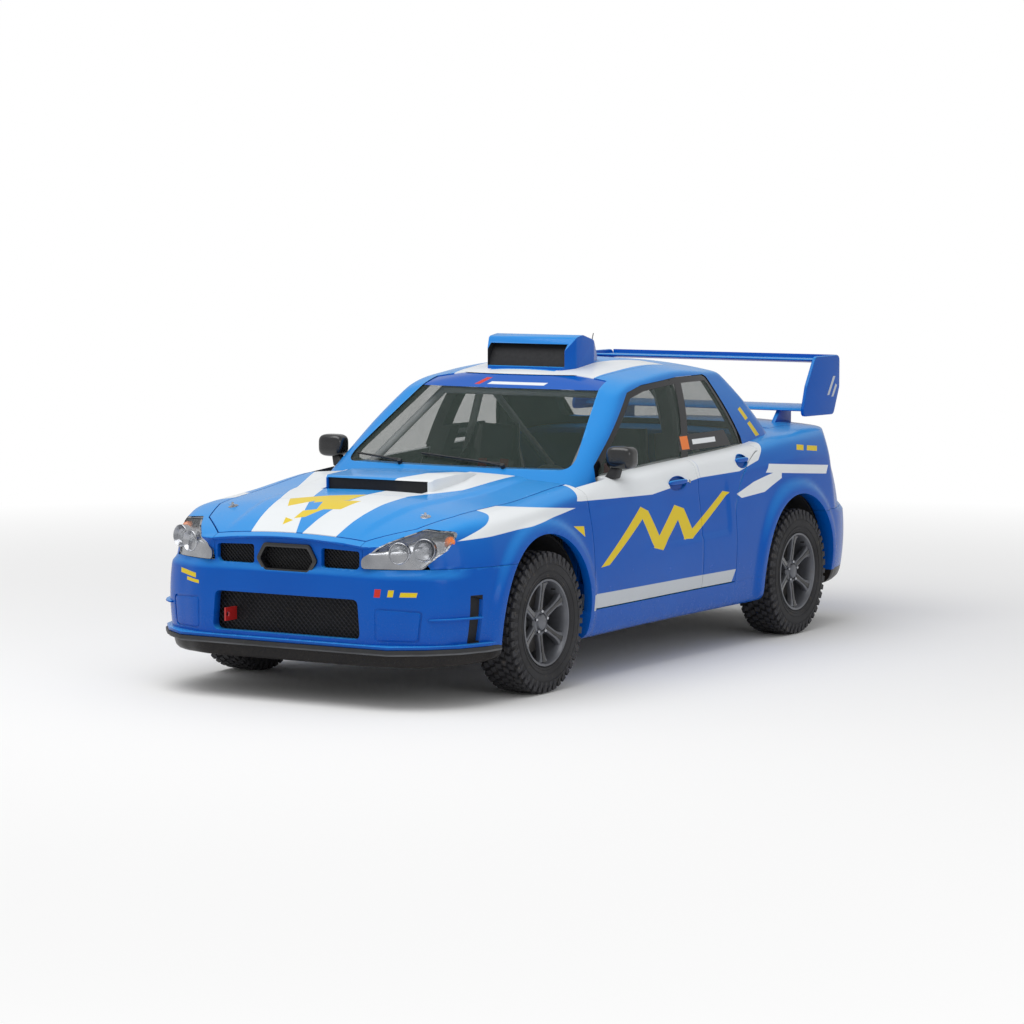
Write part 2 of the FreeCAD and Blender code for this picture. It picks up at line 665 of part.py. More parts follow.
def build_floor(wells):
    """Floor with its tunnel, firewall, boot floor with the bulkhead, and the wheel well linings."""
    inner = room(side_wall + 4, cowl_drop + 24, floor_wall + 1)
    ball, top = king_pin()
    axis = (top - ball).normalize()
    towers = both(rod(top - axis * 130, top, tower_radius + 12))
    shafts = both(rod(top - axis * 200, top + axis * 10, tower_radius))
    beside_sills = both(box(half_width - 202, wide, front_axle + 250, rear_axle - 250, 0, sill_top + 1))
    hub_holes = both(box(well_rear - 50, well_rear + 20, rear_axle - 75, rear_axle + 75, 180, 450))
    linings = [a.common(inner) for a in wheel_rooms(well_wall)]
    linings = join_all(linings + towers).cut(wells + shafts + beside_sills + hub_holes)
    save("wheel_linings", linings)

    pillars = both(lower_pillars()[0])
    solid_linings = wheel_rooms(well_wall) + both(rod(top - axis * 200, top, tower_radius + 12))
    engine_bay = box(-300, 300, front_axle - 480, front_axle + 300, 0, floor_top + 35)
    tunnel_hole = box(-125, 125, front_axle + 400, rear_axle - 100, 0, 425)
    tunnel = box(-140, 140, bonnet_back, bulkhead_y + 10, floor_z, 440)
    through = box(-140, 140, front_axle + 400, rear_axle - 100, 0, 440)
    plate = inner.common(box(-wide, wide, nose + 150, bulkhead_y + sheet, floor_z, floor_top))
    plate = plate.cut(solid_linings + beside_sills + pillars + [engine_bay])
    floor = plate.fuse(tunnel).cut(tunnel_hole)
    save("floor_pan", floor)

    between_pillars = room(side_wall + 96, cowl_drop + 24, floor_wall + 1)
    firewall = between_pillars.common(box(-wide, wide, bonnet_back - 10, bonnet_back + 8, floor_top, 900))
    under_feet = both(box(lid_half - 2, wide, bonnet_back - 20, bonnet_back + 20, 848, 1000))
    save("firewall", firewall.cut(solid_linings + beside_sills + under_feet + [through]))

    boot_half = half_width - 160
    bulkhead = inner.common(box(-boot_half, boot_half, bulkhead_y, bulkhead_y + sheet, floor_top, 725))
    boot = inner.common(box(-boot_half, boot_half, bulkhead_y, tail - 130, boot_floor_z,
                            boot_floor_z + sheet))
    save("boot_floor", bulkhead.fuse(boot).cut(solid_linings + beside_sills + [through]))


def build_sills(wells):
    """Box sills under the doors, each with two jack pads."""
    bar = hull().common(box(half_width - 200, wide, front_axle + 300, rear_axle - 300, sill_z, sill_top))
    pads = [rod(V(jack_x, y, sill_z), V(jack_x, y, sill_z + 60), 35)
            for y in (front_axle + 620, rear_axle - 560)]
    save("sills", *both(bar.cut(wells).fuse(pads)))


def build_splitter(wells):
    """Flat lip around the bumper's foot."""
    right = [(half_width - 340, nose - splitter_reach), (half_width - 100, nose + 190),
             (half_width - 32, front_axle - 420), (half_width - 32, front_axle - 375)]
    lip = prism_xy(right + [(-x, y) for x, y in reversed(right)], 252, 272)
    save("splitter", lip.cut(wells + [hull()]))


# ---- inside --------------------------------------------------------------------------------------
def build_seats():
    """Two bucket seats on plain bases."""
    back = middle + 260
    inner, outer = 160, 220         # half widths between and over the side wings
    cushion = box(-outer, outer, back - 430, back, 290, 330)
    rests = [box(x, x + 35, back - 430, back + 20, 330, 480) for x in (-outer, outer - 35)]
    spine = prism_yz([(back - 50, 330), (back, 330), (back + 150, 1130), (back + 100, 1130)], -inner, inner)
    wings = [prism_yz([(back - 160, 480), (back - 22, 330), (back, 330), (back + 112, 930), (back, 930)],
                      x, x + outer - inner) for x in (-outer, inner)]
    base = box(-outer + 20, outer - 20, back - 330, back - 80, floor_top, 290)
    seat = join_all([cushion, spine, base] + rests + wings)
    seat.translate(V(seat_x, 0, 0))
    save("seats", *both(seat))


def build_cage():
    """Roll cage: main hoop, front legs over the doors, rear stays and door bars."""
    f, screen_y = floor_top, front_axle + 1240
    hoop = [(cage_side, hoop_y, f), (cage_side, hoop_y, 900), (cage_side - 120, hoop_y, cage_z)]
    hoop += [(-x, y, z) for x, y, z in reversed(hoop)]
    bars = [tube_path(hoop, cage_radius)]
    for x, y, z in ((cage_top, screen_y, cage_z - 50), (cage_side - 10, hoop_y, 860)):
        bars.append(tube_path([(x, y, z), (-x, y, z)], brace_radius))
    leg = [(cage_side, front_axle + 560, f), (cage_side, front_axle + 560, f + 60),
           (cage_side - 30, front_axle + 660, 900), (cage_top, screen_y, cage_z - 50),
           (cage_top + 10, hoop_y, cage_z - 8)]
    stay = [(cage_top + 10, hoop_y, cage_z - 30), (cage_top + 10, rear_axle - 60, 720),
            (cage_top + 10, rear_axle - 60, boot_floor_z + sheet)]
    door_bar = [(cage_side, hoop_y, 560), (cage_side, front_axle + 600, 560)]
    for run, radius in ((leg, cage_radius - 1), (stay, brace_radius), (door_bar, brace_radius)):
        bars += both(tube_path(run, radius))
    save("roll_cage", join(bars))


def build_dashboard():
    """Dashboard from the firewall to the driver, bored for the steering column."""
    front, half = bonnet_back + 8, half_width - 330
    dash = prism_yz([(front, 700), (front, 850), (front + 152, 865), (front + 372, 875), (front + 422, 800),
                     (front + 412, 660), (front + 212, 640)], -half, half)
    axis = (column_top - column_base).normalize()
    bore = rod(column_base - axis * 10, column_top, column_radius + column_clearance)
    save("dashboard", dash.cut(bore))


def build_steering_wheel():
    """Rim, three spokes and a shroud around the column."""
    axis = (column_top - column_base).normalize()
    centre = column_top + axis * 20
    side = V(1, 0, 0)
    down = -axis.cross(side)
    shroud = rod(column_base, column_top, column_radius)
    hub = rod(column_top - axis * 5, centre, 45)
    spokes = [rod(centre - axis * 6, centre - axis * 6 + way * 150, 9) for way in (side, -side, down)]
    save("steering_wheel", join([shroud, Part.makeTorus(155, 14, centre, axis), hub] + spokes))


# ---- running gear --------------------------------------------------------------------------------
def build_engine():
    """Engine as one plain block on two legs that stand on the front beam."""
    block = box(-260, 260, front_axle - 420, front_axle + 250, 300, 780)
    legs = [box(x, x + 50, front_axle - 60, front_axle + 60, hub_z - 103, 300) for x in (-200, 150)]
    save("engine_block", join([block] + legs))


def build_front_corner():
    """Front suspension: subframe and lower arms, sockets, upper mounts."""
    ball, top = king_pin()
    axis = (top - ball).normalize()
    low = hub_z - 147
    front, back, tip = front_axle - 150, front_axle + 180, 22
    arm = prism_xy([(300, front), (300, back), (360, back), (ball.x - 10, front_axle + tip),
                    (ball.x + tip, front_axle + tip), (ball.x + tip, front_axle - tip),
                    (ball.x - 10, front_axle - tip), (360, front)], low, low + 18)
    socket = rod(V(ball.x, front_axle, low), V(ball.x, front_axle, low + 28), 26)
    cup = Part.makeSphere(18 + joint_clearance, ball)
    lid = box(ball.x - 40, ball.x + 40, front_axle - 40, front_axle + 40, low + 27, low + 80)
    arm = arm.fuse(socket).cut([cup, lid])
    beam = box(-330, 330, front, back, low, low + 44)
    mount = ring(top - axis * 20, axis, tower_radius, 14 + pin_clearance, 30)
    save("front_suspension", join_all([beam] + both(arm)), *both(mount))

    stub = rod(V(wheel_x - 135, front_axle, hub_z), V(wheel_x + 73, front_axle, hub_z), stub_radius)
    strut = rod(ball + axis * 120, top - axis * 60, 25).fuse(rod(top - axis * 90, top, 14))
    upright = prism_xz([(ball.x + dx, hub_z + dz) for dx, dz in
                        ((-52, -25), (-10, -100), (12, -100), (0, 95), (-50, 145), (-80, 145), (-60, 25))],
                       front_axle - 30, front_axle + 30)
    pin = Part.makeSphere(18, ball).fuse(rod(ball, ball + V(0, 0, 45), 10))
    knuckle = join_all([stub, strut, upright, pin])
    save("front_knuckle_left", knuckle)
    save("front_knuckle_right", mirror(knuckle))


def build_rear_corner():
    """Rear subframe on four posts, with its arms, uprights and stub axles."""
    inner = well_rear - 70
    stub = rod(V(inner - 10, rear_axle, hub_z), V(wheel_x + 73, rear_axle, hub_z), stub_radius)
    upright = box(inner, inner + 45, rear_axle - 60, rear_axle + 60, hub_z - 85, hub_z + 105)
    arm = box(320, inner + 30, rear_axle - 120, rear_axle - 60, hub_z - 85, hub_z - 55)
    arm = arm.fuse(box(inner, inner + 30, rear_axle - 120, rear_axle, hub_z - 85, hub_z - 55))
    beam = box(-330, 330, rear_axle - 120, rear_axle + 120, hub_z - 100, hub_z - 40)
    posts = [rod(V(300, rear_axle + y, hub_z - 50), V(300, rear_axle + y, boot_floor_z), 20)
             for y in (-95, 95)]
    pieces = [beam]
    for shape in [stub, upright, arm] + posts:
        pieces += both(shape)
    save("rear_suspension", join_all(pieces))


def build_wheels():
    """Rims with six spokes, and their tyres."""
    wheels = (("front_left", 1, front_axle), ("front_right", -1, front_axle),
              ("rear_left", 1, rear_axle), ("rear_right", -1, rear_axle))
    for name, out, y in wheels:
        centre = V(out * wheel_x, y, hub_z)
        axis = V(out, 0, 0)
        parts = [ring(centre, axis, rim_radius, rim_radius - rim_wall, rim_width),
                 rod(centre - axis * 40, centre + axis * 70, 60),
                 rod(centre - axis * 36, centre - axis * 14, 0.75 * rim_radius)]
        for i in range(6):
            spoke = box(-28, 28, 40, rim_radius - rim_wall / 2, 0, 22)
            spoke.rotate(V(0, 0, 0), V(0, 0, 1), 60 * i)
            spoke.rotate(V(0, 0, 0), V(0, 1, 0), 90 * out)
            spoke.translate(centre + axis * 45)
            parts.append(spoke)
        bore = rod(centre - axis * 80, centre + axis * 72, stub_radius + pin_clearance)
        save(f"rim_{name}", join(parts).cut(bore))
        save(f"tyre_{name}", tyre(centre))


def tyre(centre):
    """Plain tyre: bead, bulged wall, rounded shoulder and flat tread."""
    half, low = tyre_width / 2, rim_radius + bead_seat
    wall = tyre_radius - low
    right = [(half - 8, low), (half, low + 0.32 * wall), (half, tyre_radius - 0.3 * wall),
             (half - 30, tyre_radius)]
    outline = [V(x, r, 0) for x, r in right + [(-x, r) for x, r in reversed(right)]]
    solid = Part.Face(Part.makePolygon(outline + [outline[0]])).revolve(V(0, 0, 0), V(1, 0, 0), 360)
    solid.translate(centre)
    return solid


def build_driveline():
    """Propeller shaft from the engine to the rear beam, and the silencer on its hanger."""
    save("driveline", rod(V(0, front_axle + 250, 330), V(0, rear_axle - 120, 330), 35)
         .fuse(box(-30, 30, rear_axle - 130, rear_axle - 120, hub_z - 60, 330)))
    silencer = rod(V(-400, rear_axle + 300, 300), V(-400, tail - 10, 300), 45)
    hanger = box(-404, -396, tail - 330, tail - 300, 340, boot_floor_z)
    save("exhaust", silencer.fuse(hanger))


def build_tow_eyes():
    """Flat loops bolted to the crash structure, front and rear."""
    front = box(-306, -298, nose - splitter_reach, nose + 46, 350, 410)
    front = front.cut(rod(V(-wide, nose - 22, 380), V(wide, nose - 22, 380), 12))
    rear = box(298, 306, tail, tail + tow_reach, 330, 390)
    rear = rear.cut(rod(V(-wide, tail + 15, 360), V(wide, tail + 15, 360), 9))
    save("tow_eyes", front, rear)


def main():
    os.makedirs("parts", exist_ok=True)
    outer = hull()
    wall = outer.cut(room(side_wall, top_wall, floor_wall))
    skin = outer.cut(room(fender_wall, top_wall, floor_wall))
    wells = wheel_rooms()
    doors = door_space(front_door_outline(shut_gap), shut_gap).fuse(
        door_space(rear_door_outline(shut_gap), shut_gap))
    all_doors = doors.fuse(mirror(doors))
    build_nose(wall, skin, wells, doors)
    build_bonnet(wall)
    build_cowl(all_doors)
    build_frame(all_doors)
    build_roof()
    build_glass()
    build_doors(outer, wall, wells)
    build_mirrors()
    build_rear(wall, wells, doors)
    build_wing()
    build_floor(wells)
    build_sills(wells)
    build_splitter(wells)
    build_seats()
    build_cage()
    build_dashboard()
    build_steering_wheel()
    build_engine()
    build_front_corner()
    build_rear_corner()
    build_wheels()
    build_driveline()
    build_tow_eyes()


main()
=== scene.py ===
import bmesh
import bpy
import math
import numpy as np
from functools import reduce
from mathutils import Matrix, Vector
from mathutils.bvhtree import BVHTree


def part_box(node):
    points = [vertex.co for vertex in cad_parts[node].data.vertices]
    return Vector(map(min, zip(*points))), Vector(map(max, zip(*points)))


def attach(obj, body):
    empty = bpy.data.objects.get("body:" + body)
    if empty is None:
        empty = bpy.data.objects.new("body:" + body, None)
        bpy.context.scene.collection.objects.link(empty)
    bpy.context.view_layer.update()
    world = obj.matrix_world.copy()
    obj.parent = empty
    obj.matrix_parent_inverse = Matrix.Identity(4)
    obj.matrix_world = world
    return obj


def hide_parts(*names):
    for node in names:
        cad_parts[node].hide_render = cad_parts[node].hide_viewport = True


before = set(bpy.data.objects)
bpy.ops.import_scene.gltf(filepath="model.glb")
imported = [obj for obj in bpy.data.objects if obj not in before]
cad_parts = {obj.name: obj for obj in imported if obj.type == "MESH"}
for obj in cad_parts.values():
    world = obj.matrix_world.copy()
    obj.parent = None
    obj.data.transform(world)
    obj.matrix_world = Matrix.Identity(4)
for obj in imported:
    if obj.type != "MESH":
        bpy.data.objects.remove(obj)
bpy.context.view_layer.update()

# ---- Camera ----
# A long lens at chest height, off the car's left front corner. It looks a little down at the middle
# of the car, so the bonnet and the whole left side show.
def added(name, data):
    """A new object in the scene."""
    made = bpy.data.objects.new(name, data)
    bpy.context.scene.collection.objects.link(made)
    return made


def aimed(thing, spot, way):
    """Puts a camera or lamp in its spot, looking along a direction."""
    thing.location = spot
    thing.rotation_euler = way.to_track_quat("-Z", "Y").to_euler()


camera_turn, camera_drop, camera_reach = math.radians(31.178), math.radians(5.157), 17.2
camera_aim = Vector((-0.012, -0.132, 0.7004))
looking = Vector((-math.sin(camera_turn) * math.cos(camera_drop),
                  math.cos(camera_turn) * math.cos(camera_drop), -math.sin(camera_drop)))
camera = added("camera", bpy.data.cameras.new("camera"))
camera.data.sensor_width, camera.data.lens, camera.data.clip_end = 36.0, 122.18, 200.0
aimed(camera, camera_aim - looking * camera_reach, looking)
bpy.context.scene.camera = camera
bpy.context.scene.view_settings.view_transform = "Standard"


# ---- Studio ----
# A white room: an even sky that camera, gloss and glass see as plain white, one wide soft box over
# the bonnet and a weaker one on the left, and a pale floor that fades into the white.
def linear(red, green, blue):
    """Colour as it is written on a paint card, 0 to 255, in the light-linear values that shaders use."""
    def one(part):
        part /= 255
        return part / 12.92 if part <= 0.04045 else ((part + 0.055) / 1.055) ** 2.4
    return one(red), one(green), one(blue), 1.0


class Value:
    """A socket of a material. Arithmetic on it adds Math nodes, and its finish adds any other node."""

    def __init__(self, finish, socket):
        self.finish = finish
        self.socket = socket

    def math(self, operation, *others, clamp=False):
        settings = {"operation": operation, "use_clamp": clamp}
        return self.finish.node("ShaderNodeMath", settings, dict(enumerate((self,) + others)))

    def __add__(self, other):
        return self.math("ADD", other)

    __radd__ = __add__

    def __sub__(self, other):
        return self.math("SUBTRACT", other)

    def __rsub__(self, other):
        return (self * -1) + other

    def __mul__(self, other):
        return self.math("MULTIPLY", other)

    __rmul__ = __mul__

    def least(self, other):
        return self.math("MINIMUM", other)

    def most(self, other):
        return self.math("MAXIMUM", other)

    def step(self, start, end):
        """0 before start, 1 after end, straight between."""
        return self.math("MULTIPLY_ADD", 1 / (end - start), -start / (end - start), clamp=True)


class Finish:
    """A material with one glossy shader, or the world, and the nodes that feed it."""

    def __init__(self, name, owner=None):
        self.owner = owner or bpy.data.materials.new(name)
        self.owner.use_nodes = True
        self.tree = self.owner.node_tree
        self.tree.nodes.clear()
        kind = "ShaderNodeOutputWorld" if owner else "ShaderNodeOutputMaterial"
        self.output = self.tree.nodes.new(kind)

    def node(self, kind, settings=None, sockets=None, out=0):
        """New node: its settings first, then the values or links of its sockets; one output comes back."""
        made = self.tree.nodes.new(kind)
        for key, value in (settings or {}).items():
            setattr(made, key, value)
        for key, value in (sockets or {}).items():
            if isinstance(value, Value):
                self.tree.links.new(value.socket, made.inputs[key])
            else:
                made.inputs[key].default_value = value
        return Value(self, made.outputs[out])

    def mix(self, factor, first, second):
        """Colour between two colours."""
        return self.node("ShaderNodeMix", {"data_type": "RGBA"}, {0: factor, 6: first, 7: second}, out=2)

    def here(self):
        """Place on the car at rest."""
        return self.node("ShaderNodeTexCoord", out=3)

    def place(self):
        """Place on the car at rest: across, along and up."""
        split = self.node("ShaderNodeSeparateXYZ", None, {0: self.here()})
        return [Value(self, output) for output in split.socket.node.outputs]

    def facing_up(self):
        """How far the surface faces up, by its own normal at rest."""
        return self.node("ShaderNodeSeparateXYZ", None, {0: self.node("ShaderNodeTexCoord", out=1)}, out=2)

    def noise(self, scale, detail=3.0):
        """Cloudy value around 0.5, by place on the car."""
        return self.node("ShaderNodeTexNoise", None,
                         {"Vector": self.here(), "Scale": scale, "Detail": detail})

    def bump(self, height, depth):
        return self.node("ShaderNodeBump", None, {"Height": height, "Distance": depth, "Strength": 1.0})

    def shade(self, **sockets):
        """The glossy shader; its fixed values go straight on its sockets."""
        return self.node("ShaderNodeBsdfPrincipled", None,
                         {key.replace("_", " "): value for key, value in sockets.items()})

    def close(self, shader):
        self.tree.links.new(shader.socket, self.output.inputs["Surface"])
        return self.owner

    def glossy(self, **sockets):
        """The finished material, with only the glossy shader."""
        return self.close(self.shade(**sockets))


def white_to_lens(finish, strength):
    """1 for camera and glass, and the given strength for the light on the car."""
    def path(number):
        return finish.node("ShaderNodeLightPath", out=number)
    seen = path(0).most(path(6))
    return seen * (1 - strength) + strength


sky_level = 0.62
sky = bpy.data.worlds.new("sky")
bpy.context.scene.world = sky
sky_finish = Finish("sky", owner=sky)
sky_light = sky_finish.node("ShaderNodeBackground", None,
                            {"Color": (1, 1, 1, 1), "Strength": white_to_lens(sky_finish, sky_level)})
sky_finish.close(sky_light)


def soft_box(name, spot, aim, width, power):
    """Wide lamp in a spot, aimed at a point."""
    lamp = bpy.data.lights.new(name, "AREA")
    lamp.shape, lamp.size, lamp.size_y, lamp.energy = "RECTANGLE", width, width * 0.7, power
    aimed(added(name, lamp), spot, Vector(aim) - Vector(spot))


soft_box("over_bonnet", (-0.8, -3.2, 7.5), (0, -0.2, 0.8), 8.0, 330)
soft_box("left_side", (8.5, -5.0, 3.2), (0, 0, 0.6), 4.0, 60)

# The floor is pale and matt, and beyond the car it turns into the room's white.
bpy.ops.mesh.primitive_grid_add(x_subdivisions=8, y_subdivisions=8, size=120)
floor = bpy.context.object
floor.name = "studio_floor"
floor_finish = Finish("studio_floor")
across, along, _ = floor_finish.place()
reach = (across * across + along * along).math("SQRT")
matt = floor_finish.shade(Base_Color=linear(246, 246, 246), Roughness=0.9, Specular_IOR_Level=0.1)
glow = floor_finish.node("ShaderNodeEmission", None,
                         {"Color": (1, 1, 1, 1), "Strength": white_to_lens(floor_finish, 0.7)})
fade = floor_finish.node("ShaderNodeMixShader", None, {0: reach.step(2.6, 9.0), 1: matt, 2: glow})
floor.data.materials.append(floor_finish.close(fade))


# ---- Lower body shell ----
# Pressed and welded steel, from the nose to the tail and from the sills to the bonnet and deck.
# The outer surface flows through cross sections of the car, and every panel below is cut from it.
def centre_of(node):
    """Middle of a CAD part's box."""
    return [(low + high) / 2 for low, high in zip(*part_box(node))]


wheel_x, front_axle, hub_z = centre_of("tyre_front_left")
rear_axle = centre_of("tyre_rear_left")[1]
tyre_radius = hub_z
middle = (front_axle + rear_axle) / 2
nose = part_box("front_bumper")[0].y
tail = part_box("rear_bumper")[1].y
half_width = 0.9
arch_radius = 0.395
arch_z = hub_z + 0.01
side_wall, skin_wall, top_wall, floor_wall = 0.066, 0.028, 0.028, 0.025

# y, then insets from half_width of sill, waist, shoulder and deck edge, then heights of underside,
# waist, shoulder, deck edge and crown
sections = [
    (front_axle - 0.830, 0.500, 0.478, 0.500, 0.545, 0.190, 0.430, 0.672, 0.710, 0.735),
    (front_axle - 0.780, 0.318, 0.292, 0.330, 0.385, 0.185, 0.430, 0.680, 0.726, 0.758),
    (front_axle - 0.690, 0.188, 0.155, 0.196, 0.255, 0.180, 0.440, 0.702, 0.756, 0.790),
    (front_axle - 0.540, 0.112, 0.078, 0.122, 0.192, 0.180, 0.460, 0.740, 0.800, 0.836),
    (front_axle - 0.395, 0.066, 0.028, 0.074, 0.168, 0.185, 0.480, 0.774, 0.830, 0.866),
    (front_axle, 0.045, 0.000, 0.058, 0.172, 0.190, 0.500, 0.815, 0.868, 0.905),
    (front_axle + 0.420, 0.060, 0.028, 0.070, 0.180, 0.195, 0.540, 0.868, 0.920, 0.950),
    (middle, 0.062, 0.032, 0.075, 0.158, 0.200, 0.560, 0.925, 0.965, 0.985),
    (rear_axle - 0.395, 0.050, 0.016, 0.075, 0.150, 0.200, 0.560, 0.960, 1.000, 1.020),
    (rear_axle, 0.040, 0.000, 0.070, 0.150, 0.205, 0.560, 0.985, 1.032, 1.052),
    (rear_axle + 0.435, 0.062, 0.026, 0.098, 0.172, 0.215, 0.560, 0.990, 1.045, 1.072),
    (rear_axle + 0.690, 0.132, 0.104, 0.212, 0.262, 0.225, 0.560, 0.975, 1.035, 1.068),
    (rear_axle + 0.805, 0.215, 0.188, 0.305, 0.365, 0.235, 0.560, 0.960, 1.012, 1.042),
    (rear_axle + 0.855, 0.420, 0.390, 0.460, 0.520, 0.245, 0.560, 0.930, 0.975, 1.002),
]


def ramp(start, end, value):
    """Smooth step from 0 at start to 1 at end."""
    share = np.clip((value - start) / (end - start), 0, 1)
    return share * share * (3 - 2 * share)


def flow(rows, step):
    """Rows between the given ones, smooth and without overshoot; both ends turn into flat caps."""
    rows = np.array(rows)
    gaps = np.hypot(np.diff(rows[:, 0]), np.diff(rows[:, 2]))
    steepness = np.diff(rows, axis=0) / gaps[:, None]
    slopes = np.zeros_like(rows)
    before, after = steepness[:-1], steepness[1:]
    together = before * after > 0
    slopes[1:-1][together] = 2 * before[together] * after[together] / (before + after)[together]
    slopes[0], slopes[-1] = 1.5 * steepness[0], 1.5 * steepness[-1]
    slopes[0, 0] = slopes[-1, 0] = 0
    made = []
    for i, gap in enumerate(gaps):
        for share in np.arange(0, 1, 1 / max(1, round(gap / step))):
            a, b = share * share * (3 - 2 * share), share * (1 - share) ** 2
            c = share * share * (share - 1)
            made.append(rows[i] * (1 - a) + rows[i + 1] * a + gap * (slopes[i] * b + slopes[i + 1] * c))
    return made + [rows[-1]]


def arc(a, b, c, count):
    """Points on the circle through three flat points, from a to c."""
    (ax, ay), (bx, by), (cx, cy) = a, b, c
    d = 2 * (ax * (by - cy) + bx * (cy - ay) + cx * (ay - by))
    squares = [p[0] ** 2 + p[1] ** 2 for p in (a, b, c)]
    ux = (squares[0] * (by - cy) + squares[1] * (cy - ay) + squares[2] * (ay - by)) / d
    uy = (squares[0] * (cx - bx) + squares[1] * (ax - cx) + squares[2] * (bx - ax)) / d
    start, via, end = (math.atan2(y - uy, x - ux) for x, y in (a, b, c))
    backwards = (via - start) % math.tau > (end - start) % math.tau
    if backwards:
        start, end = end, start
    angles = (start + np.linspace(0, (end - start) % math.tau, count))[::-1 if backwards else 1]
    radius = math.hypot(ax - ux, ay - uy)
    return np.column_stack([ux + radius * np.cos(angles), uy + radius * np.sin(angles)])


def cross_section(row, side, top, bottom, fine):
    """Closed outline of the lower body at one station, drawn inside the outer surface by three insets."""
    y, sill, waist, shoulder, deck, z_low, z_waist, z_shoulder, z_deck, z_crown = row
    w = half_width - side
    foot = (w - sill, z_low + bottom)
    hip = (w - waist, z_waist)
    brow = (w - shoulder, z_shoulder - 0.6 * top)
    edge = (w - deck, z_deck - top)
    bend = ((brow[0] + edge[0]) / 2 + 0.008, (brow[1] + edge[1]) / 2 + 0.008)
    crown = (0, z_crown - top)
    under = np.column_stack([np.linspace(0, foot[0], 10 * fine), np.full(10 * fine, foot[1])])
    over = arc(edge, crown, (-edge[0], edge[1]), 36 * fine + 1)[:18 * fine + 1]
    half = np.vstack([under[:-1], arc(foot, hip, brow, 18 * fine)[:-1],
                      arc(brow, bend, edge, 6 * fine)[:-1], over])
    loop = np.vstack([half, half[-2:0:-1] * (-1, 1)])
    for _ in range(3 * fine - 2):
        loop = (np.roll(loop, 1, axis=0) + 2 * loop + np.roll(loop, -1, axis=0)) / 4
    return np.column_stack([loop[:, 0], np.full(len(loop), y), loop[:, 1]])


def made_mesh(name, points, faces):
    """New object from points and faces."""
    mesh = bpy.data.meshes.new(name)
    mesh.from_pydata([tuple(map(float, p)) for p in points], [], [tuple(map(int, f)) for f in faces])
    mesh.update()
    return added(name, mesh)


tools = []


def tool(piece):
    """A solid that only shapes others; it is thrown away once the car is built."""
    tools.append(piece)
    return piece


def quads(rows, columns, hoop=False, strip=False):
    """Faces between rows of points. A row is closed unless strip; hoop joins the last row to the first."""
    return [(i * columns + j, i * columns + (j + 1) % columns,
             (i + 1) % rows * columns + (j + 1) % columns, (i + 1) % rows * columns + j)
            for i in range(rows - (not hoop)) for j in range(columns - strip)]


def loft(rings):
    """Closed skin over a row of closed rings of equal count, with flat ends."""
    count = len(rings[0])
    points = np.vstack(rings + [rings[0].mean(axis=0)[None], rings[-1].mean(axis=0)[None]])
    first, last = len(points) - 2, len(points) - 1
    ending = (len(rings) - 1) * count
    around = [(j, (j + 1) % count) for j in range(count)]
    faces = quads(len(rings), count) + [(first, b, a) for a, b in around]
    faces += [(last, ending + a, ending + b) for a, b in around]
    return outward(tool(made_mesh("tool", points, faces)))


def outward(piece, weld=0.0):
    """Merges points nearer than weld, and turns the faces so that all of them look out."""
    work = bmesh.new()
    work.from_mesh(piece.data)
    if weld:
        bmesh.ops.remove_doubles(work, verts=work.verts, dist=weld)
    bmesh.ops.recalc_face_normals(work, faces=work.faces)
    work.to_mesh(piece.data)
    work.free()
    return piece


def pressing(p, n):
    """How far the steel is pressed out, by place and normal: flares, ledges, creases, bonnet dome."""
    x, y, z = np.abs(p[:, 0]), p[:, 1], p[:, 2]
    upright = 1 - np.clip(np.abs(n[:, 2]) * 1.25, 0, 1) ** 2
    out = np.zeros(len(p))
    for axle in (front_axle, rear_axle):
        r = np.hypot(y - axle, z - arch_z)
        low = 1 - ramp(0.8, 0.92, z)
        out -= 0.02 * np.exp(-((y - axle) / 0.46) ** 2) * low * upright
        out += 0.022 * (1 - ramp(arch_radius + 0.036, arch_radius + 0.084, r)) * upright
    ahead = 1 - ramp(front_axle - 0.66, front_axle - 0.52, y)
    out -= 0.02 * ramp(0.578, 0.622, z) * ahead * upright
    behind = ramp(rear_axle + 0.42, rear_axle + 0.58, y)
    out -= 0.026 * ramp(0.598, 0.64, z) * behind * upright
    scallop = ramp(0.584, 0.598, z) * (1 - ramp(0.79, 0.87, z)) * (1 - ramp(0.5, 0.514, y))
    out -= 0.007 * scallop * ramp(-0.55, 0.0, y) * upright * (x > 0.5)
    belt = np.exp(-((z - 0.862 - 0.022 * y) / 0.012) ** 2) * ramp(-0.8, -0.7, y) * (1 - ramp(1.0, 1.4, y))
    out += 0.004 * belt * upright
    flat = np.clip(n[:, 2], 0, 1) ** 2
    rib = 0.36 + 0.14 * ramp(nose, front_axle + 0.35, y) - x
    start = ramp(nose + 0.02, nose + 0.2, y)
    out += 0.01 * ramp(-0.012, 0.012, rib) * flat * (y < front_axle + 0.6) * start
    return out


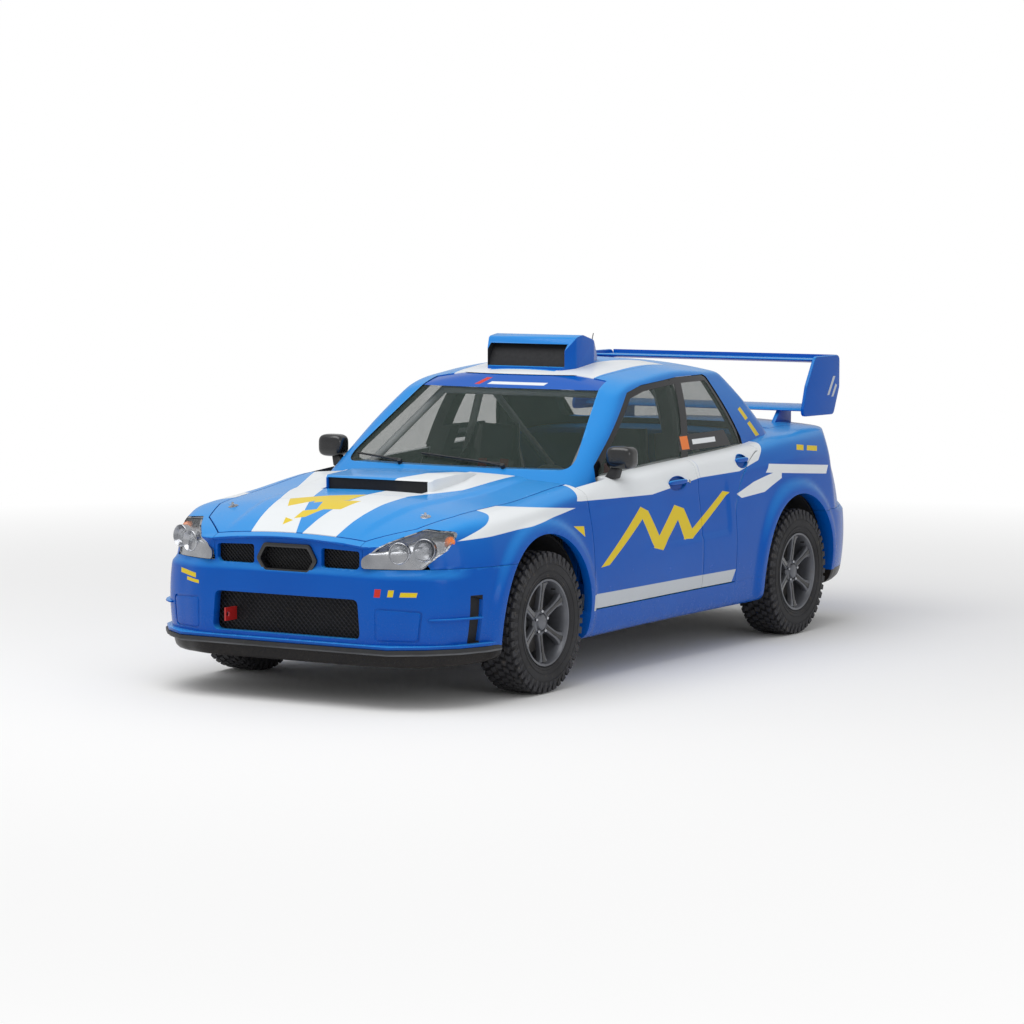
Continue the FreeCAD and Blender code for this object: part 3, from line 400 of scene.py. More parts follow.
def body_volume(side=0.0, top=0.0, bottom=0.0, fine=1):
    """Lower body as one solid; insets give the inside of the walls, and fine asks for the pressings."""
    step, cap_rings = (0.016, 30) if fine > 1 else (0.06, 1)
    rings = np.array([cross_section(row, side, top, bottom, fine) for row in flow(sections, step)])
    if fine > 1:
        along = np.gradient(rings, axis=0)
        around = (np.roll(rings, -1, axis=1) - np.roll(rings, 1, axis=1)) / 2
        normals = np.cross(around, along)
        normals /= np.linalg.norm(normals, axis=2, keepdims=True) + 1e-12
        spread = rings - rings.mean(axis=1, keepdims=True)
        normals *= np.sign((spread * normals).sum(axis=2).mean())
        normals[0], normals[-1] = (0, -1, 0), (0, 1, 0)
    caps = []
    for end, way in ((0, np.array((0, -1, 0))), (-1, np.array((0, 1, 0)))):
        heart = rings[end].mean(axis=0)
        for k in range(1, cap_rings + 1):
            ring = heart + (rings[end] - heart) * (1 - k / (cap_rings + 1))
            if fine > 1:
                ring += pressing(ring, np.tile(way, (len(ring), 1)))[:, None] * way
            caps.append(ring)
    if fine > 1:
        moved = pressing(rings.reshape(-1, 3), normals.reshape(-1, 3)).reshape(rings.shape[:2])
        rings = rings + moved[..., None] * normals
    return loft(caps[cap_rings - 1::-1] + list(rings) + caps[cap_rings:])


def prism(outline, axis, low, high, lean=0.0):
    """Solid swept along x, y or z from a flat outline; lean moves its low end along the next axis."""
    order = {"x": (2, 0, 1), "y": (0, 2, 1), "z": (0, 1, 2)}[axis]
    points = [[(u - lean * (high - depth), v, depth)[k] for k in order]
              for depth in (low, high) for u, v in outline]
    n = len(outline)
    faces = [tuple(range(n)), tuple(range(2 * n - 1, n - 1, -1))] + quads(2, n)
    return outward(tool(made_mesh("tool", points, faces)))


def block(x0, x1, y0, y1, z0, z1):
    """Upright box."""
    return prism([(x0, y0), (x1, y0), (x1, y1), (x0, y1)], "z", z0, z1)


def drum(centre, axis, radius, low, high, sides=128):
    """Round bar along x or y."""
    turn = np.linspace(0, math.tau, sides, endpoint=False)
    outline = [(centre[0] + radius * math.cos(a), centre[1] + radius * math.sin(a)) for a in turn]
    return prism(outline, axis, low, high)


def mirrored(piece, name=None):
    """The same solid on the other side of the car."""
    mesh = piece.data.copy()
    points = np.zeros(len(mesh.vertices) * 3)
    mesh.vertices.foreach_get("co", points)
    points[::3] *= -1
    mesh.vertices.foreach_set("co", points)
    mesh.flip_normals()
    mesh.update()
    twin = added(name or "tool", mesh)
    return twin if name else tool(twin)


def both(piece):
    """A left solid and its mirror image."""
    return [piece, mirrored(piece)]


def sides(piece):
    """The same, each with the name of its side."""
    return zip(("left", "right"), both(piece))


def settled(piece):
    """Works a piece's modifiers into its mesh."""
    depsgraph = bpy.context.evaluated_depsgraph_get()
    depsgraph.update()
    mesh = bpy.data.meshes.new_from_object(piece.evaluated_get(depsgraph))
    piece.modifiers.clear()
    piece.data = mesh
    return piece


def shaped(name, start, keep=(), cut=(), add=()):
    """New piece: a solid kept only inside some tools, joined with others and cut by the rest."""
    piece = added(name, start.data.copy())
    for operation, group in (("INTERSECT", keep), ("UNION", add), ("DIFFERENCE", cut)):
        for other in group:
            step = piece.modifiers.new(operation, "BOOLEAN")
            step.operation, step.object, step.solver = operation, other, "MANIFOLD"
    settled(piece).data.name = name
    if not len(piece.data.polygons):
        raise ValueError(f"nothing is left of {name}")
    return piece


def carved(start, keep=(), cut=(), add=()):
    """The same, for a solid that only shapes others."""
    return tool(shaped("tool", start, keep, cut, add))


def rounded_edges(piece, width, segments=2, angle=50):
    """Small radius on every sharp edge, as sheet metal and mouldings have."""
    step = piece.modifiers.new("edge", "BEVEL")
    step.width, step.segments, step.limit_method = width, segments, "ANGLE"
    step.angle_limit = math.radians(angle)
    step.use_clamp_overlap = True
    return settled(piece)


outer = body_volume(fine=2)
hollow_ends = block(-1, 1, nose + 0.046, tail - 0.06, 0, 1.5)
deep_room, thin_room = (carved(body_volume(inset, top_wall, floor_wall), [hollow_ends])
                        for inset in (side_wall, skin_wall))
wall, skin = (carved(outer, cut=[room]) for room in (deep_room, thin_room))
wells = []
for axle, inner_x in ((front_axle, 0.49), (rear_axle, 0.64)):
    wells += both(drum((axle, arch_z), "x", arch_radius, inner_x, 1.0))


# ---- Body paint ----
# Blue two-pack paint under clear coat, with cut vinyl on it: white sweeps, a yellow zig-zag and
# plain bars. The vinyl is laid out in flat outlines, seen from the side, from above or from ahead.
# Every body paint also carries a painted highlight: faces that look up turn pale blue.
blue = linear(0, 88, 184)
# Deep blue: tone that varies at random over the paint, and painted shade in the handle pockets.
deep_blue = linear(2, 66, 158)
# Pale blue for the painted highlight on faces that look up.
painted_highlight_blue = linear(52, 158, 232)
black = linear(14, 16, 22)
white = linear(231, 235, 238)
yellow = linear(228, 200, 36)
red = linear(205, 52, 40)
orange = linear(235, 120, 30)
pale_grey = linear(196, 202, 208)
road_dust = linear(120, 108, 92)
cut_edge = 0.0016  # width over which cut vinyl fades out


def inside(u, v, outline):
    """Depth inside a flat convex outline, in metres; negative outside."""
    edges = list(zip(outline, outline[1:] + outline[:1]))
    turn = sum(a[0] * b[1] - b[0] * a[1] for a, b in edges)
    depths = []
    for (u0, v0), (u1, v1) in edges:
        length = math.copysign(math.hypot(u1 - u0, v1 - v0), turn)
        a, b = (v0 - v1) / length, (u1 - u0) / length
        depths.append(u.math("MULTIPLY_ADD", a, v.math("MULTIPLY_ADD", b, -a * u0 - b * v0)))
    return reduce(Value.least, depths)


def paint(name, *vinyl, ground=blue):
    """Body paint with layers of vinyl, each (colour, plane, outlines), and a painted highlight in pale blue
    on faces that look up.
    """
    finish = Finish(name)
    x, y, z = finish.place()
    tint = finish.noise(3.0, 4.0)
    colour = finish.mix(tint.step(0.3, 0.7) * 0.25, ground, deep_blue)
    # Faces that look up are mixed towards pale blue: a painted highlight, as if lit from above.
    colour = finish.mix(finish.facing_up().step(0.15, 0.95) * 0.8, colour, painted_highlight_blue)
    masks = []
    for shade, plane, outlines in vinyl:
        u, v = {"side": (y, z), "top": (x, y), "front": (x, z)}[plane]
        depth = reduce(Value.most, [inside(u, v, outline) for outline in outlines])
        masks.append(depth.step(0.0, cut_edge))
        toned = finish.mix(tint.step(0.25, 0.75) * 0.06, shade, road_dust)
        colour = finish.mix(masks[-1], colour, toned)
    speckle = finish.noise(140.0, 6.0)
    low = (0.55 - z).step(0.0, 0.42)
    dust = (low * speckle.step(0.35, 0.75) * 0.1).most(finish.noise(9.0, 5.0).step(0.62, 0.9) * 0.03)
    chips = finish.noise(420.0, 2.0).step(0.735, 0.75) * low
    colour = finish.mix(dust, colour, road_dust)
    colour = finish.mix(chips * 0.6, colour, pale_grey)
    rough = dust * 0.5 + finish.noise(24.0, 4.0) * 0.1 + 0.2
    if masks:
        rough = rough + reduce(Value.most, masks) * 0.08
    peel = finish.bump(finish.noise(260.0, 2.0), 0.00012)
    return finish.glossy(Base_Color=colour, Roughness=rough, Normal=peel, Coat_Weight=0.14,
                         Coat_Roughness=0.05, Specular_IOR_Level=0.12)


sweeps = [
    [(-1.86, 0.738), (-1.38, 0.77), (-1.07, 0.806), (-0.95, 0.822), (-1.51, 0.868)],
    [(-1.24, 0.872), (-0.9, 0.848), (-0.24, 0.832), (0.25, 0.88), (0.25, 1.03), (-0.8, 1.03),
     (-0.88, 0.925)],
    [(0.25, 0.88), (0.66, 0.884), (0.88, 0.925), (1.02, 1.03), (0.25, 1.03)],
    [(0.94, 0.858), (1.64, 0.806), (1.68, 0.85), (0.98, 0.902)],
    [(0.6, 0.775), (0.65, 0.751), (0.91, 0.763), (1.11, 0.82), (1.11, 0.867), (0.8, 0.822)],
]
zigzag = [
    [(-0.78, 0.53), (-0.7, 0.535), (-0.3, 0.76), (-0.37, 0.785)],
    [(-0.395, 0.77), (-0.3, 0.762), (-0.17, 0.585), (-0.26, 0.575)],
    [(-0.275, 0.58), (-0.18, 0.56), (0.06, 0.745), (-0.03, 0.768)],
    [(-0.045, 0.76), (0.06, 0.745), (0.15, 0.61), (0.05, 0.59)],
    [(0.035, 0.595), (0.13, 0.59), (0.53, 0.79), (0.47, 0.8)],
]
side_paint = paint(
    "side_paint",
    (white, "side", sweeps),
    (pale_grey, "side", [[(-0.86, 0.325), (0.53, 0.325), (0.575, 0.402), (-0.86, 0.41)]]),
    (yellow, "side", zigzag + [[(-1.002, 0.742), (-0.905, 0.735), (-0.905, 0.684)],
                               [(1.3, 0.952), (1.38, 0.944), (1.4, 0.972), (1.32, 0.98)],
                               [(1.42, 0.942), (1.55, 0.93), (1.57, 0.957), (1.44, 0.968)]]),
)
bonnet_paint = paint(
    "bonnet_paint",
    (white, "top", [[(-0.2, -2.13), (-0.325, -1.68), (-0.165, -1.65), (0.06, -2.13)],
                    [(-0.325, -1.68), (-0.7, -0.84), (-0.5, -0.84), (-0.165, -1.65)],
                    [(0.06, -2.13), (0.24, -2.13), (0.265, -1.5), (0.06, -1.52)],
                    [(0.265, -1.5), (0.4, -1.25), (0.45, -0.84), (0.2, -0.84), (0.06, -1.52)]]),
    (yellow, "top", [[(-0.27, -1.68), (-0.1, -1.585), (-0.06, -1.67), (-0.2, -1.8)],
                     [(-0.13, -1.6), (0.06, -1.53), (0.05, -1.67), (-0.1, -1.74)],
                     [(-0.07, -1.69), (0.12, -1.67), (0.1, -1.81), (-0.02, -1.83)],
                     [(-0.08, -1.85), (0.02, -1.81), (-0.02, -1.92), (-0.07, -1.94)],
                     [(-0.12, -1.93), (-0.06, -1.955), (-0.09, -2.0)]]),
)
bumper_paint = paint(
    "bumper_paint",
    (black, "side", [[(-2.3, 0.1), (-1.1, 0.1), (-1.1, 0.25), (-2.3, 0.25)],
                     [(1.2, 0.1), (2.3, 0.1), (2.3, 0.3), (1.6, 0.3), (1.2, 0.25)],
                     [(-1.85, 0.285), (-1.786, 0.285), (-1.776, 0.5), (-1.84, 0.5)]]),
    (red, "front", [[(0.47, 0.497), (0.5, 0.497), (0.505, 0.535), (0.475, 0.535)]]),
    (yellow, "front", [[(0.53, 0.5), (0.555, 0.5), (0.56, 0.532), (0.535, 0.532)],
                       [(0.58, 0.5), (0.65, 0.5), (0.655, 0.522), (0.585, 0.522)],
                       [(-0.62, 0.545), (-0.5, 0.53), (-0.5, 0.553), (-0.62, 0.568)],
                       [(-0.57, 0.515), (-0.48, 0.505), (-0.48, 0.522), (-0.57, 0.532)]]),
)
plain_paint = paint("plain_paint")


# ---- Panel outlines ----
# Where the sheets are split: shut lines, seams, lamp holes and openings, each a flat outline swept
# through the shell. Moving panels keep 6 mm to their neighbours, bolted ones 2 mm.
shut_gap, seam_gap = 0.006, 0.002
sill_top = 0.335
bumper_top = 0.618
shut_lean = 0.26
bonnet_front, bonnet_back = nose + 0.052, front_axle + 0.42
foot_y = front_axle + 0.7
door_front, door_split, split_lean = front_axle + 0.465, middle + 0.25, 0.235
window_back = rear_axle - 0.36
deck_back, lid_front, lid_half = rear_axle + 0.172, rear_axle + 0.193, half_width - 0.3
foot_side_x, upper_x, cowl_half = half_width - 0.128, half_width - 0.195, half_width - 0.186


def widened(points, grow):
    """Closed outline moved outwards by grow."""
    points = np.array(points, float)
    before, after = points - np.roll(points, 1, axis=0), np.roll(points, -1, axis=0) - points
    before /= np.linalg.norm(before, axis=1)[:, None]
    after /= np.linalg.norm(after, axis=1)[:, None]
    flat = points[:, 0] * np.roll(points[:, 1], -1) - np.roll(points[:, 0], -1) * points[:, 1]
    turn = np.sign(flat.sum())
    n1, n2 = before[:, ::-1] * (turn, -turn), after[:, ::-1] * (turn, -turn)
    corner = (n1 + n2) * (grow / (1 + (n1 * n2).sum(axis=1)))[:, None]
    return (points + corner).tolist()


def rounded(outline, radius, count=6):
    """Outline with its corners turned into arcs, as far as the sides allow."""
    points = [np.array(p, float) for p in outline]
    made = []
    for before, here, after in zip(points[-1:] + points[:-1], points, points[1:] + points[:1]):
        a, b = before - here, after - here
        la, lb = np.linalg.norm(a), np.linalg.norm(b)
        angle = math.acos(float(np.clip(a @ b / (la * lb), -1, 1)))
        reach = min(radius / math.tan(angle / 2), 0.45 * la, 0.45 * lb)
        p, q = here + a / la * reach, here + b / lb * reach
        for share in np.linspace(0, 1, count):
            made.append(tuple((1 - share) ** 2 * p + 2 * share * (1 - share) * here + share ** 2 * q))
    return made


bonnet_edge = [(half_width - 0.5, bonnet_front), (half_width - 0.335, nose + 0.21),
               (half_width - 0.26, nose + 0.4), (half_width - 0.21, front_axle - 0.02),
               (half_width - 0.188, bonnet_back)]
bonnet_outline = bonnet_edge + [(-x, y) for x, y in reversed(bonnet_edge)]
bonnet_gap = prism(widened(bonnet_outline, shut_gap), "z", 0.64, 1.2)
lamp_outline = [(half_width - inset, z) for inset, z in
                ((0.495, 0.622), (0.24, 0.62), (0.172, 0.7), (0.148, 0.78), (0.29, 0.79),
                 (0.395, 0.735), (0.495, 0.664))]
lamp_hole = prism(rounded(lamp_outline, 0.03), "y", nose - 0.005, front_axle - 0.4)
lamp_holes = both(lamp_hole)


def nose_region(grow=0.0):
    """Bumper, nose frame and everything under the lamps."""
    low = block(-1, 1, nose - 0.005, front_axle - 0.25, 0, bumper_top + grow)
    inner = half_width - 0.5 + grow
    return carved(low, add=[block(-inner, inner, nose - 0.005, nose + 0.33, 0.3, 0.8)])


def side_sweep(outline):
    """Outline swept in from the car's side, leaning with the shut lines."""
    return prism(outline, "x", 0.55 * half_width + 0.02, half_width + 0.02, lean=shut_lean)


def door_space(outline, grow=0.0):
    """Everything a door outline covers, outboard of the screen pillar's foot and the glass run."""
    foot = block(-0.1, foot_side_x - grow, nose, foot_y + shut_gap - grow, 0.84, 1.6)
    run = block(-0.1, upper_x - grow, nose, tail, -0.1, 1.08)
    rear_foot = block(-0.1, foot_side_x - grow, window_back - 0.008 + 4 * grow, tail, 0.84, 1.601)
    return carved(side_sweep(outline), cut=[foot, run, rear_foot])


door_low = sill_top + shut_gap
front_door_outline = [(door_front, door_low), (door_split, door_low), (door_split, 0.95),
                      (door_split + split_lean, 1.5), (door_front, 1.5)]
rear_start = door_split + shut_gap
arch_edge = arc((rear_axle - 0.68, 0.69), (rear_axle - 0.53, 0.885), (rear_axle - 0.228, 0.988), 24)
door_tip = rear_axle - 0.335
rear_door_outline = ([(rear_start, door_low), (rear_axle - 0.68, door_low)]
                     + [(y, z) for y, z in arch_edge.tolist() if y < door_tip]
                     + [(door_tip + 0.006, 0.975), (door_tip + 0.006, 1.5),
                        (rear_start + split_lean, 1.5), (rear_start, 0.95)])
left_doors = [door_space(widened(outline, shut_gap), shut_gap)
              for outline in (front_door_outline, rear_door_outline)]
right_doors = [mirrored(door) for door in left_doors]
tail_region = block(-1, 1, rear_axle + 0.25, tail + 0.005, 0, bumper_top)
tail_seam = block(-1, 1, rear_axle + 0.25, tail + 0.006, -0.1, bumper_top + seam_gap)
tail_lamp = block(lid_half + shut_gap, half_width, rear_axle + 0.6, tail + 0.005, 0.8, 0.925)
tail_lamps = both(tail_lamp)


def coloured(piece, material, angle=35):
    """One material all over, and smooth shading with sharp edges where the faces turn by more."""
    piece.data.materials.clear()
    piece.data.materials.append(material)
    piece.data.polygons.foreach_set("use_smooth", [True] * len(piece.data.polygons))
    piece.data.set_sharp_from_angle(angle=math.radians(angle))
    return piece


def fit(piece, body, slot, *nodes):
    """The body that a piece rides on and the CAD parts that it stands for, which are hidden; slot is not
    used.
    """
    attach(piece, body)
    if nodes:
        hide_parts(*nodes)
    return piece


def finished(piece, body, material, slot, *nodes, edge=0.0015):
    """A built panel with a small radius on its edges."""
    if edge:
        rounded_edges(piece, edge)
    return fit(coloured(piece, material), body, slot, *nodes)


def lined(piece, lining):
    """Finish the faces that look inwards or down, so that no vinyl shows on the back of a panel."""
    piece.data.materials.append(lining)
    for face in piece.data.polygons:
        if math.copysign(face.normal.x, face.normal.x * face.center.x) < -0.3 or face.normal.z < -0.5:
            face.material_index = 1
    return piece


# ---- Front bumper ----
# One moulded cover from arch to arch. The grille holes and the wide lower intake are cut through it,
# and a ledge runs round it under the lamps.
mouth_outline = [(0.182, 0.612), (0.372, 0.612), (0.386, 0.63), (0.386, 0.694), (0.182, 0.7)]
centre_outline = [(-0.154, 0.64), (-0.118, 0.588), (0.118, 0.588), (0.154, 0.64), (0.118, 0.702),
                  (-0.118, 0.702)]
intake_outline = [(-0.4, 0.304), (0.4, 0.304), (0.386, 0.482), (-0.386, 0.482)]
centre_hole = prism(rounded(centre_outline, 0.02), "y", nose - 0.01, nose + 0.12)
intake_hole = prism(rounded(intake_outline, 0.03), "y", nose - 0.01, nose + 0.15)
mouth_holes = both(prism(rounded(mouth_outline, 0.015), "y", nose - 0.01, nose + 0.21))
side_slot = prism(rounded([(-1.85, 0.29), (-1.786, 0.29), (-1.776, 0.48), (-1.84, 0.5)], 0.01),
                  "x", 0.78, 1.0)
vent_line = [(0.475, 0.3), (0.66, 0.3), (0.676, 0.44), (0.475, 0.452)]
vent_inner = rounded(widened(vent_line, -0.009), 0.015)
vent_groove = carved(prism(rounded(vent_line, 0.02), "y", nose - 0.02, nose + 0.3),
                     cut=[prism(vent_inner, "y", nose - 0.03, nose + 0.31), body_volume(0.012)])
bumper = shaped("front_bumper_cover", wall,
                [nose_region(), block(-1, 1, nose - 0.005, front_axle - 0.2, 0, 0.8)],
                [bonnet_gap, *lamp_holes, centre_hole, intake_hole, *mouth_holes, *wells,
                 *both(side_slot), *both(vent_groove)])
finished(bumper, "body", bumper_paint, "blue_paint", "front_bumper")
duct = Finish("duct_black")
duct_black = duct.glossy(Base_Color=duct.mix(duct.noise(90.0), linear(10, 11, 15), linear(22, 23, 28)),
                         Roughness=duct.noise(60.0) * 0.2 + 0.6)
slot_liner = shaped("bumper_duct_left", side_slot, [body_volume(0.026)])
for piece in (slot_liner, mirrored(slot_liner, "bumper_duct_right")):
    finished(piece, "body", duct_black, "black_plastic", edge=0)

# ---- Front wings ----
# Single bolted skins over the front wheels, from the lamp to the door, with a rolled arch lip.
# Pressed steel, fixed with bolts, and kept off bonnet and doors by the shut gap.
seam = nose_region(seam_gap)
wing_skin = carved(skin, [block(0.0, 1, nose - 0.005, bonnet_back + 0.4, sill_top, 1.1)],
                   [bonnet_gap, *lamp_holes, seam, *left_doors, *wells,
                    block(-0.1, cowl_half + 0.006, bonnet_back - 0.06, bonnet_back + 0.5, -0.1, 1.2),
                    block(-0.1, foot_side_x, door_front - 0.045, bonnet_back + 0.5, 0.84, 1.2),
                    block(-0.1, 1.1, door_front + 0.06, bonnet_back + 0.5, -0.1, 1.2),
                    block(-0.1, cowl_half - 0.114, nose - 0.01, bonnet_back, -0.1, 0.64)])
for side, shape in sides(wing_skin):
    lined(finished(shaped(f"front_wing_{side}", shape), "body", side_paint, "blue_paint", "front_fenders"),
          plain_paint)

# ---- Bonnet ----
# Aluminium skin with a raised middle and a bolted intake scoop over the engine.
# It hinges at the screen, and a black liner closes the scoop's mouth.
scoop_front = front_axle - 0.103
scoop_roof = [(scoop_front, 0.85), (scoop_front, 0.934), (scoop_front + 0.045, 0.956),
              (scoop_front + 0.24, 0.968), (front_axle + 0.33, 0.962), (front_axle + 0.39, 0.95),
              (front_axle + 0.39, 0.85)]
scoop_plan = [(-0.3, scoop_front + 0.02), (0.3, scoop_front + 0.02), (0.3, scoop_front + 0.3),
              (0.262, front_axle + 0.385), (-0.262, front_axle + 0.385), (-0.3, scoop_front + 0.3)]
scoop_body = carved(prism(rounded(scoop_roof, 0.03), "x", -0.3, 0.3),
                    [prism(rounded(scoop_plan, 0.03), "z", 0.8, 1.0)], [body_volume(0.0, 0.012, 0.0)])
scoop_mouth = prism(rounded([(scoop_front - 0.03, 0.885), (scoop_front - 0.03, 0.938),
                             (scoop_front + 0.045, 0.95), (scoop_front + 0.13, 0.945),
                             (scoop_front + 0.13, 0.9)], 0.008), "x", -0.278, 0.278)
bonnet_skin = carved(wall, [prism(bonnet_outline, "z", 0.64, 1.2)])
bonnet = shaped("bonnet_skin", bonnet_skin, add=[scoop_body], cut=[scoop_mouth])
lined(finished(bonnet, "bonnet", bonnet_paint, "blue_paint", "bonnet"), plain_paint)

plug_side = [(scoop_front + 0.035, 0.87), (scoop_front + 0.035, 0.948), (scoop_front + 0.125, 0.943),
             (scoop_front + 0.125, 0.87)]
mouth_plug = prism(rounded(plug_side, 0.004), "x", -0.277, 0.277)
finished(shaped("bonnet_duct", mouth_plug, [scoop_mouth]), "bonnet", duct_black, "black_plastic", edge=0)

# ---- Doors ----
# Hollow steel doors with frameless glass. Each swings on two pins just inside its front edge, and has
# an oval finger pocket behind its pull handle.
handle_places = {"front": (0.018, 0.868, 0.088), "rear": (0.705, 0.932, 0.062)}


def handle_pocket(part, grow=0.0):
    y, z, half = handle_places[part]
    turns = np.linspace(0, math.tau, 48, endpoint=False)
    oval = [(y + (half + grow) * math.cos(a), z + (0.036 + grow) * math.sin(a)) for a in turns]
    return carved(prism(oval, "x", 0.3, 1.0), cut=[body_volume(0.014 + grow)])


for part, outline in (("front", front_door_outline), ("rear", rear_door_outline)):
    door = carved(wall, [door_space(outline)], [*wells, handle_pocket(part)])
    for side, shape in sides(door):
        panel = shaped(f"{part}_door_{side}_shell", shape)
        finished(panel, f"{part}_door_{side}", side_paint, "blue_paint", f"{part}_door_{side}")
        # The doors' inward and downward faces are black: partly a dark lining, partly painted shade that
        # darkens the cabin seen through the glass.
        lined(panel, duct_black)
hinges = outward(carved(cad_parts["door_hinges"]), 1e-6)
finished(shaped("door_hinge_leaves", hinges, [body_volume(0.003, 0.003, 0.003, fine=2)]), "body",
         plain_paint, "steel", "door_hinges", edge=0)

# ---- Rear quarters ----
# Welded sides from the rear doors to the lamps, with the deck in front of the boot lid.
# Pressed steel, in one piece with the rear arches.
quarter = shaped("quarter_sides", wall, [block(-1, 1, middle + 0.4, tail + 0.005, sill_top, 1.2)],
                 [block(-lid_half - shut_gap, lid_half + shut_gap, lid_front - shut_gap, tail + 0.01,
                        0.694, 1.21),
                  block(-lid_half - shut_gap, lid_half + shut_gap, deck_back, lid_front + 0.04, 0.9, 1.22),
                  block(-upper_x - 0.005, upper_x + 0.005, nose, rear_axle - 0.13, -0.1, 1.23),
                  tail_seam, *left_doors, *right_doors, *tail_lamps, *wells])
lined(finished(quarter, "body", side_paint, "blue_paint", "quarter_panels"), plain_paint)

# ---- Boot lid ----
# Double-skinned lid that wraps over the tail, with a pressed recess for a plate, left blank.
# Steel, hinged at its front edge; it carries the wing.
plate_line = [(-0.28, 0.738), (0.28, 0.738), (0.28, 0.868), (-0.28, 0.868)]
plate_recess = prism(rounded(plate_line, 0.02), "y", tail - 0.1, tail + 0.05)
plate_recess = carved(plate_recess, cut=[body_volume(0.01)])
lid = shaped("boot_lid_skin", wall, [block(-lid_half, lid_half, lid_front, tail + 0.005, 0.7, 1.2)],
             [plate_recess])
finished(lid, "boot_lid", plain_paint, "blue_paint", "boot_lid")

# ---- Rear bumper ----
# Moulded cover, wider than the sides above it, with the exhaust hole on the right.
# Painted plastic from arch to arch, black along its lower edge.
pipe_hole = drum((-0.4, 0.3), "y", 0.056, rear_axle, tail + 0.05, 48)
rear_cover = shaped("rear_bumper_cover", wall, [tail_region], [*wells, pipe_hole])
finished(rear_cover, "body", bumper_paint, "blue_paint", "rear_bumper")

# ---- Sills ----
# Steel box sections under the doors, welded between the arches, with a skirt that catches
# the light.
sill = carved(outer, [block(half_width - 0.2, 1, front_axle + 0.3, rear_axle - 0.3, 0.18, sill_top)], wells)
for side, shape in sides(sill):
    finished(shaped(f"sill_{side}", shape), "body", plain_paint, "blue_paint", "sills")

# ---- Glasshouse ----
# Screen pillars, cant rails, centre and rear pillars as one welded frame, with the roof skin on it.
# Plan outlines at four heights, from belt to above the roof, are blended and capped by the roof curve.
roof_z, deck_z, cant_z = 1.45, 0.93, 1.4
# share of height; screen centre y; then x inset and y of screen edge, door glass front, side middle,
# door glass back and rear window edge; rear window centre y
plans = [
    (-0.20, 0.327, 0.223, 0.425, 0.140, 0.562, 0.116, 0.300, 0.136, 0.032, 0.226, 0.280, 0.364),
    (0.00, 0.470, 0.245, 0.555, 0.165, 0.680, 0.140, 0.300, 0.165, -0.030, 0.250, 0.190, 0.270),
    (0.53, 0.850, 0.305, 0.905, 0.232, 0.978, 0.207, 0.350, 0.242, -0.210, 0.315, -0.050, 0.020),
    (1.25, 1.355, 0.452, 1.388, 0.382, 1.408, 0.366, 0.457, 0.392, -0.547, 0.446, -0.463, -0.409),
]
roof_line = [(front_axle + 0.85, 0.2), (front_axle + 1.18, 0.056), (front_axle + 1.42, 0.02),
             (middle + 0.43, 0.0), (rear_axle - 0.52, 0.016), (rear_axle - 0.26, 0.045),
             (rear_axle + 0.06, 0.19)]


def eased(xs, ys, count=200):
    """Dense smooth curve through a few points, as two lists for np.interp."""
    xs, ys = np.array(xs, float), np.array(ys, float)
    gaps = np.diff(xs)
    steep = np.diff(ys, axis=0) / gaps.reshape(-1, *[1] * (ys.ndim - 1))
    slopes = np.concatenate([steep[:1], (steep[:-1] + steep[1:]) / 2, steep[-1:]])
    places = np.linspace(xs[0], xs[-1], count)
    made = []
    for place in places:
        i = min(int(np.searchsorted(xs, place, "right")) - 1, len(gaps) - 1)
        s, g = (place - xs[i]) / gaps[i], gaps[i]
        a, b, c = s * s * (3 - 2 * s), s * (1 - s) ** 2, s * s * (s - 1)
        made.append(ys[i] * (1 - a) + ys[i + 1] * a + g * (slopes[i] * b + slopes[i + 1] * c))
    return places, np.array(made)


crown_y, crown_fall = eased(*zip(*roof_line))


def roof_height(x, y, fall=0.0):
    across = (x / (half_width - 0.25)) ** 2
    return roof_z - fall - np.interp(y, crown_y, crown_fall) - 0.074 * across


def plan_half(row, inset):
    """Right half of a plan outline, screen centre to rear window centre."""
    _, y0, xa, ya, xb, yb, xs, ys, xc, yc, xd, yd, y1 = row
    w = half_width - inset
    front, back = 1.9 * inset, 1.4 * inset
    a = np.array((w - xa, front_axle + ya + front))
    b = np.array((w - xb, front_axle + yb + 0.6 * front))
    s = np.array((w - xs, middle + ys))
    c = np.array((w - xc, rear_axle + yc - 0.6 * back))
    d = np.array((w - xd, rear_axle + yd - back))
    ab, cd = (a + b) / 2 + (0.014, -0.01), (c + d) / 2 + (0.014, 0.012)
    front_arc = arc((-a[0], a[1]), (0, front_axle + y0 + front), tuple(a), 49)[24:]
    back_arc = arc(tuple(d), (0, rear_axle + y1 - back), (-d[0], d[1]), 49)[:25]
    half = np.vstack([front_arc[:-1], arc(a, ab, b, 12)[:-1], arc(b, s, c, 64)[:-1],
                      arc(c, cd, d, 12)[:-1], back_arc])
    for _ in range(5):
        loop = np.vstack([half[1:2] * (-1, 1), half, half[-2:-1] * (-1, 1)])
        half = (loop[:-2] + 2 * loop[1:-1] + loop[2:]) / 4
    return half


